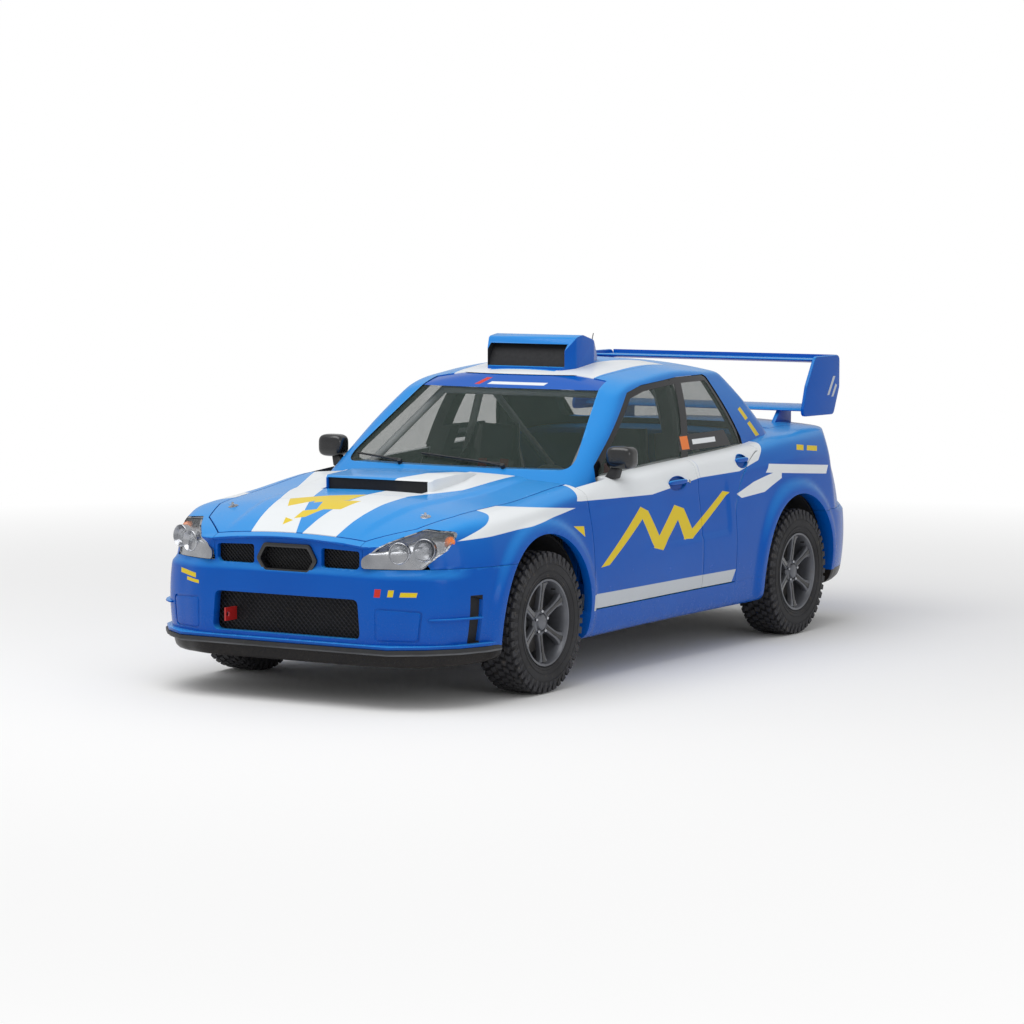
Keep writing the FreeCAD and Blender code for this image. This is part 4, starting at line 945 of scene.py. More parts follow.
def glasshouse(inset=0.0, fall=0.0):
    """Glasshouse with its roof as one closed solid, drawn inside the outer surface by inset and fall."""
    levels = np.array([plan_half(row, inset) for row in plans])
    shares, halves = eased([row[0] for row in plans], levels.reshape(4, -1), 70)
    halves = halves.reshape(70, -1, 2)
    heights = deck_z + shares * (cant_z - deck_z)
    count = halves.shape[1]
    spine = np.linspace(front_axle + 1.52, rear_axle - 0.55, count)
    paths = []
    for i in range(count):
        climb = np.column_stack([halves[:, i], heights])
        over = climb[:, 2] - roof_height(climb[:, 0], climb[:, 1], fall)
        k = int(np.argmax(over > 0))
        share = over[k - 1] / (over[k - 1] - over[k])
        corner = climb[k - 1] * (1 - share) + climb[k] * share
        run = np.linspace(0, 1, 50)[:, None]
        flat = corner[:2] * (1 - run) + np.array((0, spine[i])) * run
        roof = np.column_stack([flat, roof_height(flat[:, 0], flat[:, 1], fall)])
        path = np.vstack([climb[:k], roof])
        gone = np.concatenate([[0], np.cumsum(np.linalg.norm(np.diff(path, axis=0), axis=1))])
        even = np.linspace(0, gone[-1], 120)
        path = np.column_stack([np.interp(even, gone, path[:, c]) for c in range(3)])
        for _ in range(5):
            path[1:-1] = (path[:-2] + 2 * path[1:-1] + path[2:]) / 4
        paths.append(path)
    rings = [np.vstack([half, half[-2:0:-1] * (-1, 1, 1)]) for half in np.array(paths).transpose(1, 0, 2)]
    ring = len(rings[0])
    points = np.vstack(rings + [rings[0].mean(axis=0)[None]])
    faces = quads(len(rings), ring) + [(len(points) - 1, (j + 1) % ring, j) for j in range(ring)]
    return outward(tool(made_mesh("tool", points, faces)), 1e-5)


pillar_wall, roof_wall = 0.048, 0.035
cabin = glasshouse()
cabin_inside = glasshouse(pillar_wall, roof_wall)
screen_low, screen_high = half_width - 0.252, half_width - 0.42
screen_outline = [(-screen_low, 0.968), (screen_low, 0.968), (screen_high, roof_z - 0.066),
                  (-screen_high, roof_z - 0.066)]
back_outline = [(-half_width + 0.355, 1.088), (half_width - 0.355, 1.088),
                (half_width - 0.454, roof_z - 0.084), (-half_width + 0.454, roof_z - 0.084)]
side_outline = [(front_axle + 0.66, 0.9), (front_axle + 0.702, 0.985), (front_axle + 1.18, 1.308),
                (front_axle + 1.33, 1.338), (middle + 0.42, 1.362), (rear_axle - 0.545, 1.362),
                (rear_axle - 0.515, 1.35), (window_back, 1.04), (window_back, 0.9)]


def screen_hole(grow=0.0):
    """The windscreen's opening, swept through the car."""
    return prism(rounded(widened(screen_outline, grow), 0.05), "y", front_axle + 0.3, middle - 0.06)


def back_hole(grow=0.0):
    """The rear window's opening, swept through the car."""
    return prism(rounded(widened(back_outline, grow), 0.05), "y", rear_axle - 0.42, tail)


side_hole = prism(rounded(side_outline, 0.03), "x", -1, 1)
roof_area, roof_seam = (
    prism([(-0.42 - gap, front_axle + 1.1), (0.42 + gap, front_axle + 1.1), (0.455 + gap, middle + 0.3),
           (0.42 + gap, rear_axle - 0.2), (-0.42 - gap, rear_axle - 0.2), (-0.455 - gap, middle + 0.3)],
          "z", 1.352 - gap, 1.6) for gap in (0, seam_gap))
under_front = carved(body_volume(0.0, 0.035), [block(-1, 1, nose, middle, 0, 1.3)])
outboard = carved(outer, [block(-1, 1, nose - 0.1, middle, 0, 1.2)],
                  [block(-lid_half, lid_half, nose - 0.2, middle + 0.1, -0.1, 1.3)])
under_rear = carved(outer, [block(-1, 1, middle, tail + 0.1, 0, 1.3)])
inner_side = body_volume(side_wall + 0.016, 0.038, 0.06)
pillar_front, pillar_middle = (
    carved(inner_side, [block(0.5, 1, start, end, sill_top, high)], [body_volume(depth, 0.038, 0.06)])
    for start, end, high, depth in ((door_front - 0.057, door_front + 0.03, 0.9, side_wall + 0.085),
                                    (door_split - 0.055, door_split + 0.055, 0.89, side_wall + 0.15)))
post_low, post_high = door_split - 0.04, door_split + 0.115
post_area = prism([(post_low - 0.045, 0.86), (post_low + 0.045, 0.86), (post_high + 0.045, 1.4),
                   (post_high - 0.045, 1.4)], "x", 0.4, 1)
upper_post = carved(glasshouse(0.016, roof_wall), [post_area], [glasshouse(0.08, 0.06)])
knee_area = block(0.4, 1, door_split - 0.08, middle + 0.6, 0.86, 1.09)
knee = carved(glasshouse(0.07, roof_wall), [post_area, knee_area], [glasshouse(0.13, 0.06)])
glass_run = block(upper_x - 0.008, 1, middle, middle + 0.6, 0.7, 0.99)
upper_post = carved(upper_post, add=[knee], cut=[glass_run])
whole_shell = carved(cabin, cut=[cabin_inside])
shell = carved(whole_shell, cut=[screen_hole(), back_hole(), side_hole, under_rear, under_front, outboard,
                                 roof_seam])
foot_part = carved(whole_shell, [block(lid_half, 1, front_axle, foot_y, 0.85, 0.985)],
                   [screen_hole(), side_hole, *left_doors])
frame_parts = both(foot_part) + both(upper_post) + both(pillar_front) + both(pillar_middle)
cabin_frame = shaped("cabin_frame_welded", shell, add=frame_parts)
cabin_paint = paint("cabin_paint", (yellow, "side", [[(0.97, 1.175), (1.01, 1.185), (1.06, 1.125),
                                                      (1.02, 1.115)],
                                                     [(1.03, 1.1), (1.07, 1.11), (1.14, 1.035),
                                                      (1.09, 1.03)]]))
finished(cabin_frame, "body", cabin_paint, "blue_paint", "cabin_frame")


def trimmed_and_shaded(piece):
    """Black on the faces that look into the cabin, as painted shade inside it, and black trim on the post
    between the doors.
    """
    piece.data.materials.append(duct_black)
    middle_point = Vector((0, 0.2, 0.95))
    for face in piece.data.polygons:
        _, y, z = face.center
        on_post = 0.14 < y < 0.42 and z < 1.336 + 0.066 * (y - 0.05)
        if face.normal.dot(face.center - middle_point) < 0 or on_post:
            face.material_index = len(piece.data.materials) - 1


# Faces that look into the cabin are black, as painted shade; the post between the doors is black trim.
trimmed_and_shaded(cabin_frame)

# ---- Roof skin and scoop ----
# Pressed roof panel, with a moulded air scoop bolted over the crew.
# White film lies along both sides and behind the screen; the scoop is plain blue.
scoop_y = front_axle + 1.222
scoop_side = [(scoop_y, roof_z - 0.05), (scoop_y, roof_z - 0.008), (scoop_y + 0.03, roof_z + 0.04),
              (scoop_y + 0.105, roof_z + 0.112), (scoop_y + 0.175, roof_z + 0.123),
              (scoop_y + 0.29, roof_z + 0.096), (scoop_y + 0.42, roof_z - 0.005),
              (scoop_y + 0.42, roof_z - 0.05)]
scoop_top = [(-0.215, scoop_y + 0.02), (0.215, scoop_y + 0.02), (0.252, scoop_y + 0.1),
             (0.24, scoop_y + 0.3), (0.19, scoop_y + 0.425), (-0.19, scoop_y + 0.425),
             (-0.24, scoop_y + 0.3), (-0.252, scoop_y + 0.1)]
mouth_side = [(scoop_y - 0.04, roof_z - 0.04), (scoop_y - 0.04, roof_z + 0.01),
              (scoop_y + 0.06, roof_z + 0.078), (scoop_y + 0.18, roof_z + 0.09),
              (scoop_y + 0.18, roof_z - 0.01), (scoop_y + 0.06, roof_z - 0.03)]
roof_scoop = carved(prism(rounded(scoop_side, 0.04), "x", -0.252, 0.252),
                    [prism(rounded(scoop_top, 0.05), "z", 1.3, 1.7)], [glasshouse(0.0, 0.018)])
roof_mouth = prism(rounded(mouth_side, 0.015), "x", -0.222, 0.222)
roof = carved(cabin, [roof_area], [cabin_inside, screen_hole(), back_hole()])
roof_whole = shaped("roof_with_scoop", roof, add=[roof_scoop], cut=[roof_mouth])
roof_paint = paint("roof_paint",
                   (white, "top", [[(0.15, -0.25), (0.41, -0.25), (0.44, 0.6), (0.3, 0.6)],
                                   [(-0.15, -0.25), (-0.38, -0.25), (-0.42, 0.6), (-0.3, 0.6)],
                                   [(-0.4, -0.25), (0.4, -0.25), (0.36, -0.055), (-0.36, -0.055)]]))
plug_side = [(scoop_y + 0.04, roof_z - 0.05), (scoop_y + 0.06, roof_z + 0.005),
             (scoop_y + 0.13, roof_z + 0.11), (scoop_y + 0.176, roof_z + 0.11),
             (scoop_y + 0.176, roof_z - 0.05)]
finished(shaped("roof_duct", prism(plug_side, "x", -0.221, 0.221), [roof_mouth]), "body", duct_black,
         "black_plastic", edge=0)
finished(roof_whole, "body", plain_paint, "blue_paint", "roof_panel")
roof_whole.data.materials.append(roof_paint)
for face in roof_whole.data.polygons:
    if face.center.z < roof_height(face.center.x, face.center.y) + 0.004:
        face.material_index = 1
trimmed_and_shaded(roof_whole)


# ---- Glass ----
# Toughened and laminated glass, lightly tinted, bonded into the frame or held in the doors. The
# screen has a painted sun strip with plain bars along its top.
def glass(name, clear, *films, plane="side"):
    """Glass with films on it, each (colour, outline); door glass has a black border and post."""
    finish = Finish(name)
    x, y, z = finish.place()
    smear = finish.noise(5.0, 5.0)
    grime = finish.noise(90.0, 5.0).step(0.45, 0.8)
    colour = finish.mix(smear * 0.5, linear(52, 68, 62), linear(74, 92, 84))
    alpha = grime * 0.05 + smear * 0.08 + clear
    rough = grime * 0.05 + 0.04
    if plane == "side":
        border = 1 - inside(y, z, widened(side_outline, -0.03)).step(0.0, cut_edge)
        post = [(door_split - 0.03, 0.95), (door_split + 0.04, 0.95),
                (door_split + split_lean + 0.04, 1.5), (door_split + split_lean - 0.03, 1.5)]
        door_sides = (x.math("ABSOLUTE") - 0.5).step(0.0, 0.002)
        frit = border.most(inside(y, z, post).step(0.0, cut_edge)) * door_sides
        colour, alpha = finish.mix(frit, colour, black), alpha.most(frit)
    for shade, outline in films:
        mask = inside(y if plane == "side" else x, z, outline).step(0.0, cut_edge)
        colour = finish.mix(mask, colour, shade)
        alpha = alpha.most(mask)
        rough = rough + mask * 0.12
    return finish.glossy(Base_Color=colour, Roughness=rough, Alpha=alpha, Specular_IOR_Level=0.5, IOR=1.5)


screen_glass = glass("screen_glass", 0.2, (blue, [(-1, 1.318), (1, 1.318), (1, 1.6), (-1, 1.6)]),
                     (red, [(-0.2, 1.332), (-0.165, 1.332), (-0.115, 1.366), (-0.15, 1.366)]),
                     (white, [(-0.125, 1.334), (0.2, 1.334), (0.215, 1.348), (-0.105, 1.348)]),
                     plane="front")
door_glass = glass("door_glass", 0.26)
rear_door_glass = glass(
    "rear_door_glass", 0.26,
    (linear(22, 24, 30), [(0.22, 1.005), (0.78, 1.005), (0.74, 1.085), (0.24, 1.085)]),
    (orange, [(0.25, 1.012), (0.33, 1.012), (0.33, 1.078), (0.25, 1.078)]),
    (white, [(0.37, 1.032), (0.62, 1.032), (0.62, 1.058), (0.37, 1.058)]))
pane = carved(glasshouse(0.004, 0.004), cut=[glasshouse(0.009, 0.009)])
above_body = body_volume()
screen = shaped("screen_pane", pane, [screen_hole(0.0003)], [above_body])
finished(screen, "body", screen_glass, "glass", "windscreen", edge=0)
back = shaped("rear_pane", pane, [back_hole(0.0003)], [above_body])
finished(back, "body", door_glass, "glass", "rear_window", edge=0)
side_pane = carved(pane, [prism(rounded(widened(side_outline, -0.002), 0.028), "x", 0.54, 1)], [above_body])
for part, outline, material in (("front", front_door_outline, door_glass),
                                ("rear", rear_door_outline, rear_door_glass)):
    one = carved(side_pane, [side_sweep(outline)])
    for side, shape in sides(one):
        finished(shaped(f"{part}_{side}_pane", shape), f"{part}_door_{side}", material, "glass",
                 f"{part}_glass_{side}", edge=0)


# ---- Shop finishes ----
# Moulded plastic, cast and machined metal, rubber and cloth: two tones, a grain, and worn spots.
# The CAD parts that show as they are get their finish here too.
def plain(name, light, dark, rough=(0.4, 0.6), metal=0.0, grain=80.0, depth=0.0003, coat=0.0, dusty=0.15,
          weave=0.0):
    """A shop finish between a light and a dark colour, both as linear takes them."""
    finish = Finish(name)
    light, dark = linear(*light), linear(*dark)
    cloud = finish.noise(6.0, 5.0)
    height = fine = finish.noise(grain, 4.0)
    colour = finish.mix(cloud.step(0.3, 0.7), dark, light)
    spots = finish.noise(38.0, 6.0).step(0.6, 0.8) * dusty
    colour = finish.mix(spots, colour, road_dust)
    if weave:
        waves = [finish.node("ShaderNodeTexWave", {"wave_type": "BANDS", "bands_direction": way},
                             {"Vector": finish.here(), "Scale": weave, "Distortion": 0.4}, out=1)
                 for way in ("X", "Z")]
        height = waves[0].most(waves[1]) + fine * 0.3
        colour = finish.mix(waves[0] * waves[1] * 0.35, colour, dark)
    roughness = fine * (rough[1] - rough[0]) + spots * 0.3 + rough[0]
    return finish.glossy(Base_Color=colour, Roughness=roughness, Metallic=metal, Coat_Weight=coat,
                         Normal=finish.bump(height, depth))


black_plastic = plain("black_plastic", (38, 39, 42), (22, 23, 26), grain=300.0)
gloss_black = plain("gloss_black", (24, 25, 28), (14, 15, 18), (0.15, 0.3), coat=0.5, dusty=0.08)
cast_metal = plain("cast_metal", (120, 122, 126), (86, 88, 92), (0.45, 0.65), 0.8, 160.0, 0.0006)
bright_metal = plain("bright_metal", (196, 198, 202), (150, 152, 158), (0.15, 0.32), 1.0, 220.0,
                     0.0001, dusty=0.05)
steel_bar = plain("cage_paint", (214, 216, 218), (190, 192, 196), (0.3, 0.5), grain=120.0,
                  depth=0.0002, coat=0.2, dusty=0.06)
floor_grey = plain("floor_grey", (110, 112, 118), (88, 90, 96), (0.5, 0.7), grain=60.0, dusty=0.35)
under_black = plain("under_black", (42, 42, 44), (26, 26, 28), (0.6, 0.8), grain=90.0,
                    depth=0.001, dusty=0.35)
exhaust_steel = plain("exhaust_steel", (150, 140, 128), (98, 90, 84), (0.3, 0.5), 1.0, 120.0)
seat_cloth = plain("seat_cloth", (30, 36, 54), (16, 20, 32), (0.85, 0.95), grain=700.0,
                   depth=0.0008, dusty=0.03, weave=110.0)
red_belt = plain("red_belt", (176, 34, 36), (136, 22, 26), (0.75, 0.9), grain=900.0, depth=0.0005,
                 dusty=0.02, weave=170.0)
red_paint = plain("red_paint", (198, 40, 34), (160, 26, 26), (0.3, 0.45), coat=0.3)
amber = plain("amber", (240, 130, 24), (220, 104, 14), (0.15, 0.25), coat=0.4, dusty=0.02)
for node, material in (
        ("floor_pan", floor_grey), ("firewall", floor_grey), ("boot_floor", floor_grey),
        ("wheel_linings", under_black), ("front_suspension", cast_metal), ("rear_suspension", cast_metal),
        ("front_knuckle_left", cast_metal), ("front_knuckle_right", cast_metal),
        ("driveline", cast_metal), ("engine_block", cast_metal), ("exhaust", exhaust_steel),
        ("cowl_panel", black_plastic), ("roll_cage", steel_bar), ("tow_eyes", red_paint)):
    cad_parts[node].data.materials.clear()
    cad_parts[node].data.materials.append(material)

# ---- Headlamps ----
# Clear moulded lens over a silver bucket with twin reflector bowls and an amber turn lamp outboard.
# Each unit is let into the corner between bumper, wing and bonnet.
lens_shell = carved(outer, [lamp_hole], [body_volume(0.005, 0.005, 0.005, fine=2), bonnet_gap, seam])
lens_finish = Finish("clear_lens")
lens_grime = lens_finish.noise(60.0, 5.0).step(0.45, 0.85)
clear_lens = lens_finish.glossy(
    Base_Color=lens_finish.mix(lens_grime, linear(236, 242, 248), linear(200, 206, 210)),
    Roughness=lens_grime * 0.1 + 0.03, Alpha=lens_grime * 0.08 + 0.06, Specular_IOR_Level=0.6,
    Normal=lens_finish.bump(lens_finish.noise(18.0, 1.0), 0.0004))
bucket = carved(body_volume(0.036, 0.028, 0.03), [lamp_hole],
                [body_volume(0.066, 0.045, 0.05), bonnet_gap, seam])
bucket_inner = prism(rounded(widened(lamp_outline, -0.006), 0.03), "y", nose - 0.01, front_axle - 0.39)
bucket_wall = carved(carved(outer, [lamp_hole], [bonnet_gap, seam]),
                     cut=[bucket_inner, deep_room, body_volume(0.07)])


def turned(material, profile, spot, facing, count=48, angle=35):
    """Shape of revolution from (radius, depth) pairs about a line through spot."""
    axis = Vector(facing).normalized()
    across = axis.orthogonal().normalized()
    third = axis.cross(across)
    points = [Vector(spot) + axis * depth + (across * math.cos(turn) + third * math.sin(turn)) * radius
              for radius, depth in profile for turn in np.linspace(0, math.tau, count, endpoint=False)]
    faces = quads(len(profile), count)
    faces += [tuple(range(count))[::-1], tuple((len(profile) - 1) * count + j for j in range(count))]
    return coloured(made_mesh("part", points, faces), material, angle)


def joined(name, pieces):
    """One piece made of several meshes, each keeping its own material."""
    bpy.ops.object.select_all(action="DESELECT")
    for piece in pieces:
        piece.select_set(True)
    bpy.context.view_layer.objects.active = pieces[0]
    bpy.ops.object.join()
    pieces[0].name = name
    return pieces[0]


bowl_profile = [(0.0, 0.012), (0.018, 0.014), (0.02, 0.004), (0.03, 0.006), (0.04, 0.016), (0.047, 0.034),
                (0.049, 0.036), (0.051, 0.034), (0.05, 0.0), (0.0, -0.004)]
bulb_profile = [(0.0, 0.01), (0.009, 0.012), (0.012, 0.02), (0.01, 0.028), (0.004, 0.033), (0.0, 0.034)]
lamp_parts = [coloured(shaped("part", bucket_wall, add=[bucket]), bright_metal)]
for spot, size in (((0.56, -2.02, 0.69), 0.95), ((0.655, -1.962, 0.704), 1.0)):
    bowl = [(r * size, d * size) for r, d in bowl_profile]
    lamp_parts += [turned(bright_metal, bowl, spot, (0.25, -1, 0.05)),
                   turned(clear_lens, bulb_profile, spot, (0.25, -1, 0.05), 24)]
turn_lamp = [(0.0, 0.03), (0.016, 0.026), (0.026, 0.012), (0.028, -0.01), (0.0, -0.012)]
lamp_parts.append(turned(amber, turn_lamp, (0.716, -1.858, 0.732), (0.6, -0.8, 0.1), 32))
lamp_inside = joined("headlamp_inside_left", lamp_parts)
for piece in (lamp_inside, mirrored(lamp_inside, "headlamp_inside_right")):
    fit(piece, "body", "steel")
for piece in (shaped("headlamp_lens_left", lens_shell), mirrored(lens_shell, "headlamp_lens_right")):
    finished(piece, "body", clear_lens, "lamp_glass", "headlamps", edge=0)


# ---- Grilles ----
# Expanded black mesh behind the three upper openings and the wide intake, with a painted rim round
# the middle one; its badge place stays bare.
def mesh_sheet(x0, x1, z0, z1, y, pitch, bar):
    """Crossed diagonal bars filling a rectangle."""
    points, faces = [], []
    for way in (1, -1):
        for k in range(int(((x1 - x0) + (z1 - z0)) / pitch)):
            start = x0 + k * pitch - (z1 - z0 if way == 1 else 0)
            ends = []
            for x, z in ((start, z0), (start + way * (z1 - z0), z1)):
                inner = min(max(x, x0), x1)
                ends.append((inner, z + (inner - x) * way))
            (xa, za), (xb, _) = ends
            if abs(xb - xa) < pitch / 3 or not (z0 - 0.001 <= za <= z1 + 0.001):
                continue
            base = len(points)
            points += [(x + dx, y + dy + 0.003 * way, z) for x, z in ends
                       for dx, dy in ((-bar, -bar), (bar, -bar), (bar, bar), (-bar, bar))]
            faces += [tuple(base + i for i in quad) for quad in
                      ((0, 1, 5, 4), (1, 2, 6, 5), (2, 3, 7, 6), (3, 0, 4, 7), (3, 2, 1, 0), (4, 5, 6, 7))]
    return coloured(made_mesh("part", points, faces), black_plastic)


grille_back = block(-0.46, 0.46, nose + 0.1, nose + 0.104, 0.285, 0.7)
rim_outer = prism(rounded(widened(centre_outline, 0.01), 0.025), "y", nose + 0.01, nose + 0.058)
rim_inner = prism(rounded(widened(centre_outline, -0.009), 0.018), "y", nose - 0.1, nose + 0.1)
grille = joined("grille_mesh", [mesh_sheet(-0.41, 0.41, 0.295, 0.492, nose + 0.052, 0.024, 0.0022),
                                mesh_sheet(-0.4, 0.4, 0.58, 0.708, nose + 0.056, 0.019, 0.0022),
                                coloured(shaped("part", grille_back), under_black),
                                coloured(rounded_edges(shaped("part", rim_outer, cut=[rim_inner]), 0.003),
                                         gloss_black)])
fit(grille, "body", "black_plastic", "grille")


# ---- Rims ----
# Six-spoke cast rims in dark grey, with a machined lip, bored hub, nuts, and the brake disc behind.
# One left wheel is made about the origin; the four wheels are copies of it, turned for their side.
def hoop(material, loop, count=96):
    """Closed profile of (radius, x) pairs turned about the x axis."""
    points = [(x, r * math.cos(a), r * math.sin(a))
              for a in np.linspace(0, math.tau, count, endpoint=False) for r, x in loop]
    return coloured(outward(made_mesh("part", points, quads(count, len(loop), hoop=True))), material)


def turned_about_x(points, angle):
    """Points turned about the axle."""
    points = np.array(points, float)
    c, s = math.cos(angle), math.sin(angle)
    return np.column_stack([points[:, 0], points[:, 1] * c - points[:, 2] * s,
                            points[:, 1] * s + points[:, 2] * c])


def solid_between(low, high):
    """Solid between two equal outlines."""
    n = len(low)
    faces = [tuple(range(n))[::-1], tuple(range(n, 2 * n))] + quads(2, n)
    return outward(made_mesh("part", list(low) + list(high), faces))


wheel_grey = plain("wheel_grey", (112, 114, 120), (88, 90, 96), (0.32, 0.5), 0.5, 180.0, coat=0.25,
                   dusty=0.22)
disc_metal = plain("disc_metal", (120, 118, 116), (80, 78, 78), (0.3, 0.45), 1.0, 90.0, dusty=0.1)
barrel = [(0.2, 0.0935), (0.1975, 0.095), (0.19, 0.0935), (0.186, 0.086), (0.181, 0.074), (0.178, 0.05),
          (0.176, -0.05), (0.181, -0.08), (0.188, -0.093), (0.196, -0.095), (0.2, -0.093), (0.2, -0.084),
          (0.19, -0.07), (0.184, -0.04), (0.184, 0.05), (0.19, 0.074), (0.2, 0.084)]
rim_parts = [hoop(wheel_grey, barrel, 144)]
# radius on the wheel, half width and height of the spoke's face
spoke_line = [(0.03, 0.024, 0.058), (0.06, 0.0185, 0.06), (0.105, 0.0165, 0.066), (0.14, 0.0175, 0.071),
              (0.165, 0.024, 0.076), (0.182, 0.036, 0.08)]
spoke_edge = spoke_line + [(r, -half, rise) for r, half, rise in reversed(spoke_line)]
for k in range(6):
    def spoke_part(edge, lift, wide):
        return turned_about_x([(rise + lift, half * wide, r) for r, half, rise in edge], k * math.pi / 3)
    spoke = solid_between(spoke_part(spoke_edge, -0.026, 1.12), spoke_part(spoke_edge, 0.0, 1.0))
    rim_parts.append(coloured(rounded_edges(spoke, 0.0045, 3, 40), wheel_grey))
    # A thin gloss black strip along each spoke's face stands in for a groove: painted shade.
    spoke_shade_strip = solid_between(spoke_part(spoke_edge[1:-1], 0.0004, 0.38),
                           spoke_part(spoke_edge[1:-1], 0.002, 0.38))
    rim_parts.append(coloured(spoke_shade_strip, gloss_black))
hub_profile = [(0.0, 0.03), (0.06, 0.03), (0.062, 0.052), (0.056, 0.062), (0.046, 0.065), (0.042, 0.058),
               (0.04, 0.058), (0.034, 0.07), (0.026, 0.074), (0.0, 0.075)]
rim_parts.append(turned(wheel_grey, hub_profile, (0, 0, 0), (1, 0, 0), 60))
nut_profile = [(0.0, 0.056), (0.0085, 0.057), (0.0085, 0.069), (0.006, 0.072), (0.0, 0.072)]
for turn in (k * math.tau / 5 + 0.3 for k in range(5)):
    rim_parts.append(turned(bright_metal, nut_profile, (0, 0.05 * math.cos(turn), 0.05 * math.sin(turn)),
                            (1, 0, 0), 6, 20))
bell = [(0.0, 0.028), (0.052, 0.028), (0.066, 0.02), (0.07, -0.006), (0.072, -0.028), (0.05, -0.036),
        (0.0, -0.036)]
rim_parts += [hoop(disc_metal, [(0.07, x), (0.148, x), (0.148, x - 0.008), (0.07, x - 0.008)])
              for x in (-0.004, -0.02)]
rim_parts.append(turned(cast_metal, bell, (0, 0, 0), (1, 0, 0), 60))
valve = [(0.0, 0.0), (0.004, 0.0), (0.004, 0.022), (0.002, 0.024), (0.0, 0.024)]
valve_spot = (0.07, 0.165 * math.sin(0.5), 0.165 * math.cos(0.5))
rim_parts.append(turned(black_plastic, valve, valve_spot, (1, 0, 0), 16))
left_rim = joined("left_rim", rim_parts)

# ---- Tyres ----
# Gravel tyres: black rubber, ribbed walls and a chunky block tread. Blocks are separate lugs moulded
# on the carcass, in seven rows, each row shifted against the next.
rubber = plain("rubber", (44, 44, 47), (26, 26, 29), (0.65, 0.85), grain=240.0, depth=0.0005, dusty=0.3)
block_rubber = plain("block_rubber", (52, 52, 56), (34, 34, 38), (0.6, 0.8), grain=200.0, depth=0.0006,
                     dusty=0.4)
half_loop = [(0.2003, 0.083), (0.206, 0.094), (0.214, 0.0985), (0.218, 0.0965), (0.228, 0.1005),
             (0.246, 0.1025), (0.262, 0.1025), (0.282, 0.1), (0.297, 0.0945), (0.306, 0.085),
             (0.3105, 0.07), (0.312, 0.04)]
carcass = half_loop + [(0.3125, 0.0)] + [(r, -x) for r, x in reversed(half_loop)]
tyre_parts = [hoop(rubber, carcass, 160)]
tread_points, tread_faces = [], []


def lug(x0, x1, turn, arc_length, low, high, skew=0.0, pinch=0.0022):
    """One tread block between two radii, with sloping sides and a skewed plan."""
    base = len(tread_points)
    for radius, shrink in ((low, 0.0), (high - 0.0015, pinch * 0.7), (high, pinch)):
        for x, way in ((x0 + shrink, -1), (x1 - shrink, -1), (x1 - shrink, 1), (x0 + shrink, 1)):
            angle = turn + (way * (arc_length / 2 - shrink) + skew * (x - (x0 + x1) / 2)) / tyre_radius
            tread_points.append((x, radius * math.cos(angle), radius * math.sin(angle)))
    for quad in quads(3, 4) + [(3, 2, 1, 0), (8, 9, 10, 11)]:
        tread_faces.append(tuple(base + i for i in quad))


pitches = 44
half_step = math.pi / pitches
for k in range(pitches):
    turn = k * math.tau / pitches
    for row, (x0, x1) in enumerate(((-0.0155, 0.0155), (0.0195, 0.0475), (-0.0475, -0.0195),
                                    (0.0515, 0.0775), (-0.0775, -0.0515))):
        shift = half_step if row in (1, 2) else 0.0
        skew = 0.35 if x0 > 0.01 else -0.35 if x1 < -0.01 else 0.0
        lug(x0, x1, turn + shift, 0.032, 0.305, tyre_radius - 0.0002, skew)
    for side in (1, -1):
        shoulder, flank = sorted((side * 0.0815, side * 0.0985)), sorted((side * 0.094, side * 0.1022))
        lug(*shoulder, turn + half_step, 0.03 if k % 2 else 0.036, 0.288, 0.3205, pinch=0.004)
        lug(*flank, turn + half_step, 0.02, 0.272, 0.3, pinch=0.0035)
tyre_parts.append(coloured(outward(made_mesh("part", tread_points, tread_faces)), block_rubber, 25))
for radius in (0.234, 0.27):
    rib = [(radius + r, x) for r, x in
           ((-0.0015, 0.101), (-0.0006, 0.1036), (0.0006, 0.1036), (0.0015, 0.101))]
    tyre_parts += [hoop(rubber, [(r, x * side) for r, x in rib], 120) for side in (1, -1)]
left_tyre = joined("left_tyre", tyre_parts)

for end, axle in (("front", front_axle), ("rear", rear_axle)):
    for side, sign in (("left", 1), ("right", -1)):
        for part, source, slot in (("rim", left_rim, "wheel_grey"), ("tyre", left_tyre, "tyre")):
            copy = added(f"{part}_{end}_{side}_built", source.data.copy())
            points = np.zeros(len(copy.data.vertices) * 3)
            copy.data.vertices.foreach_get("co", points)
            points = points.reshape(-1, 3) * (sign, 1, 1) + (sign * wheel_x, axle, hub_z)
            copy.data.vertices.foreach_set("co", points.ravel())
            if sign < 0:
                copy.data.flip_normals()
            copy.data.update()
            fit(copy, f"wheel_{end}_{side}", slot, f"{part}_{end}_{side}")
tools += [left_rim, left_tyre]

# ---- Door mirrors ----
# Black moulded shells on short feet, each with a set-back glass facing the crew.
# They are bolted to the front doors and swing with them.
mirror_glass = plain("mirror_glass", (200, 206, 212), (186, 192, 200), (0.02, 0.06), 1.0, 20.0, 0.00001,
                     dusty=0.03)


def pillow(centre, half, power=0.5, count=40):
    """Rounded box: an oval form whose corners fill out as the power falls."""
    def bend(value):
        return math.copysign(abs(value) ** power, value)
    points = []
    for tilt in (math.pi * (i / (count // 2) - 0.5) for i in range(count // 2 + 1)):
        for turn in (math.tau * j / count for j in range(count)):
            girth = bend(math.cos(tilt))
            form = (girth * bend(math.cos(turn)), girth * bend(math.sin(turn)), bend(math.sin(tilt)))
            points.append([c + h * f for c, h, f in zip(centre, half, form)])
    return outward(made_mesh("part", points, quads(count // 2 + 1, count)), 1e-6)


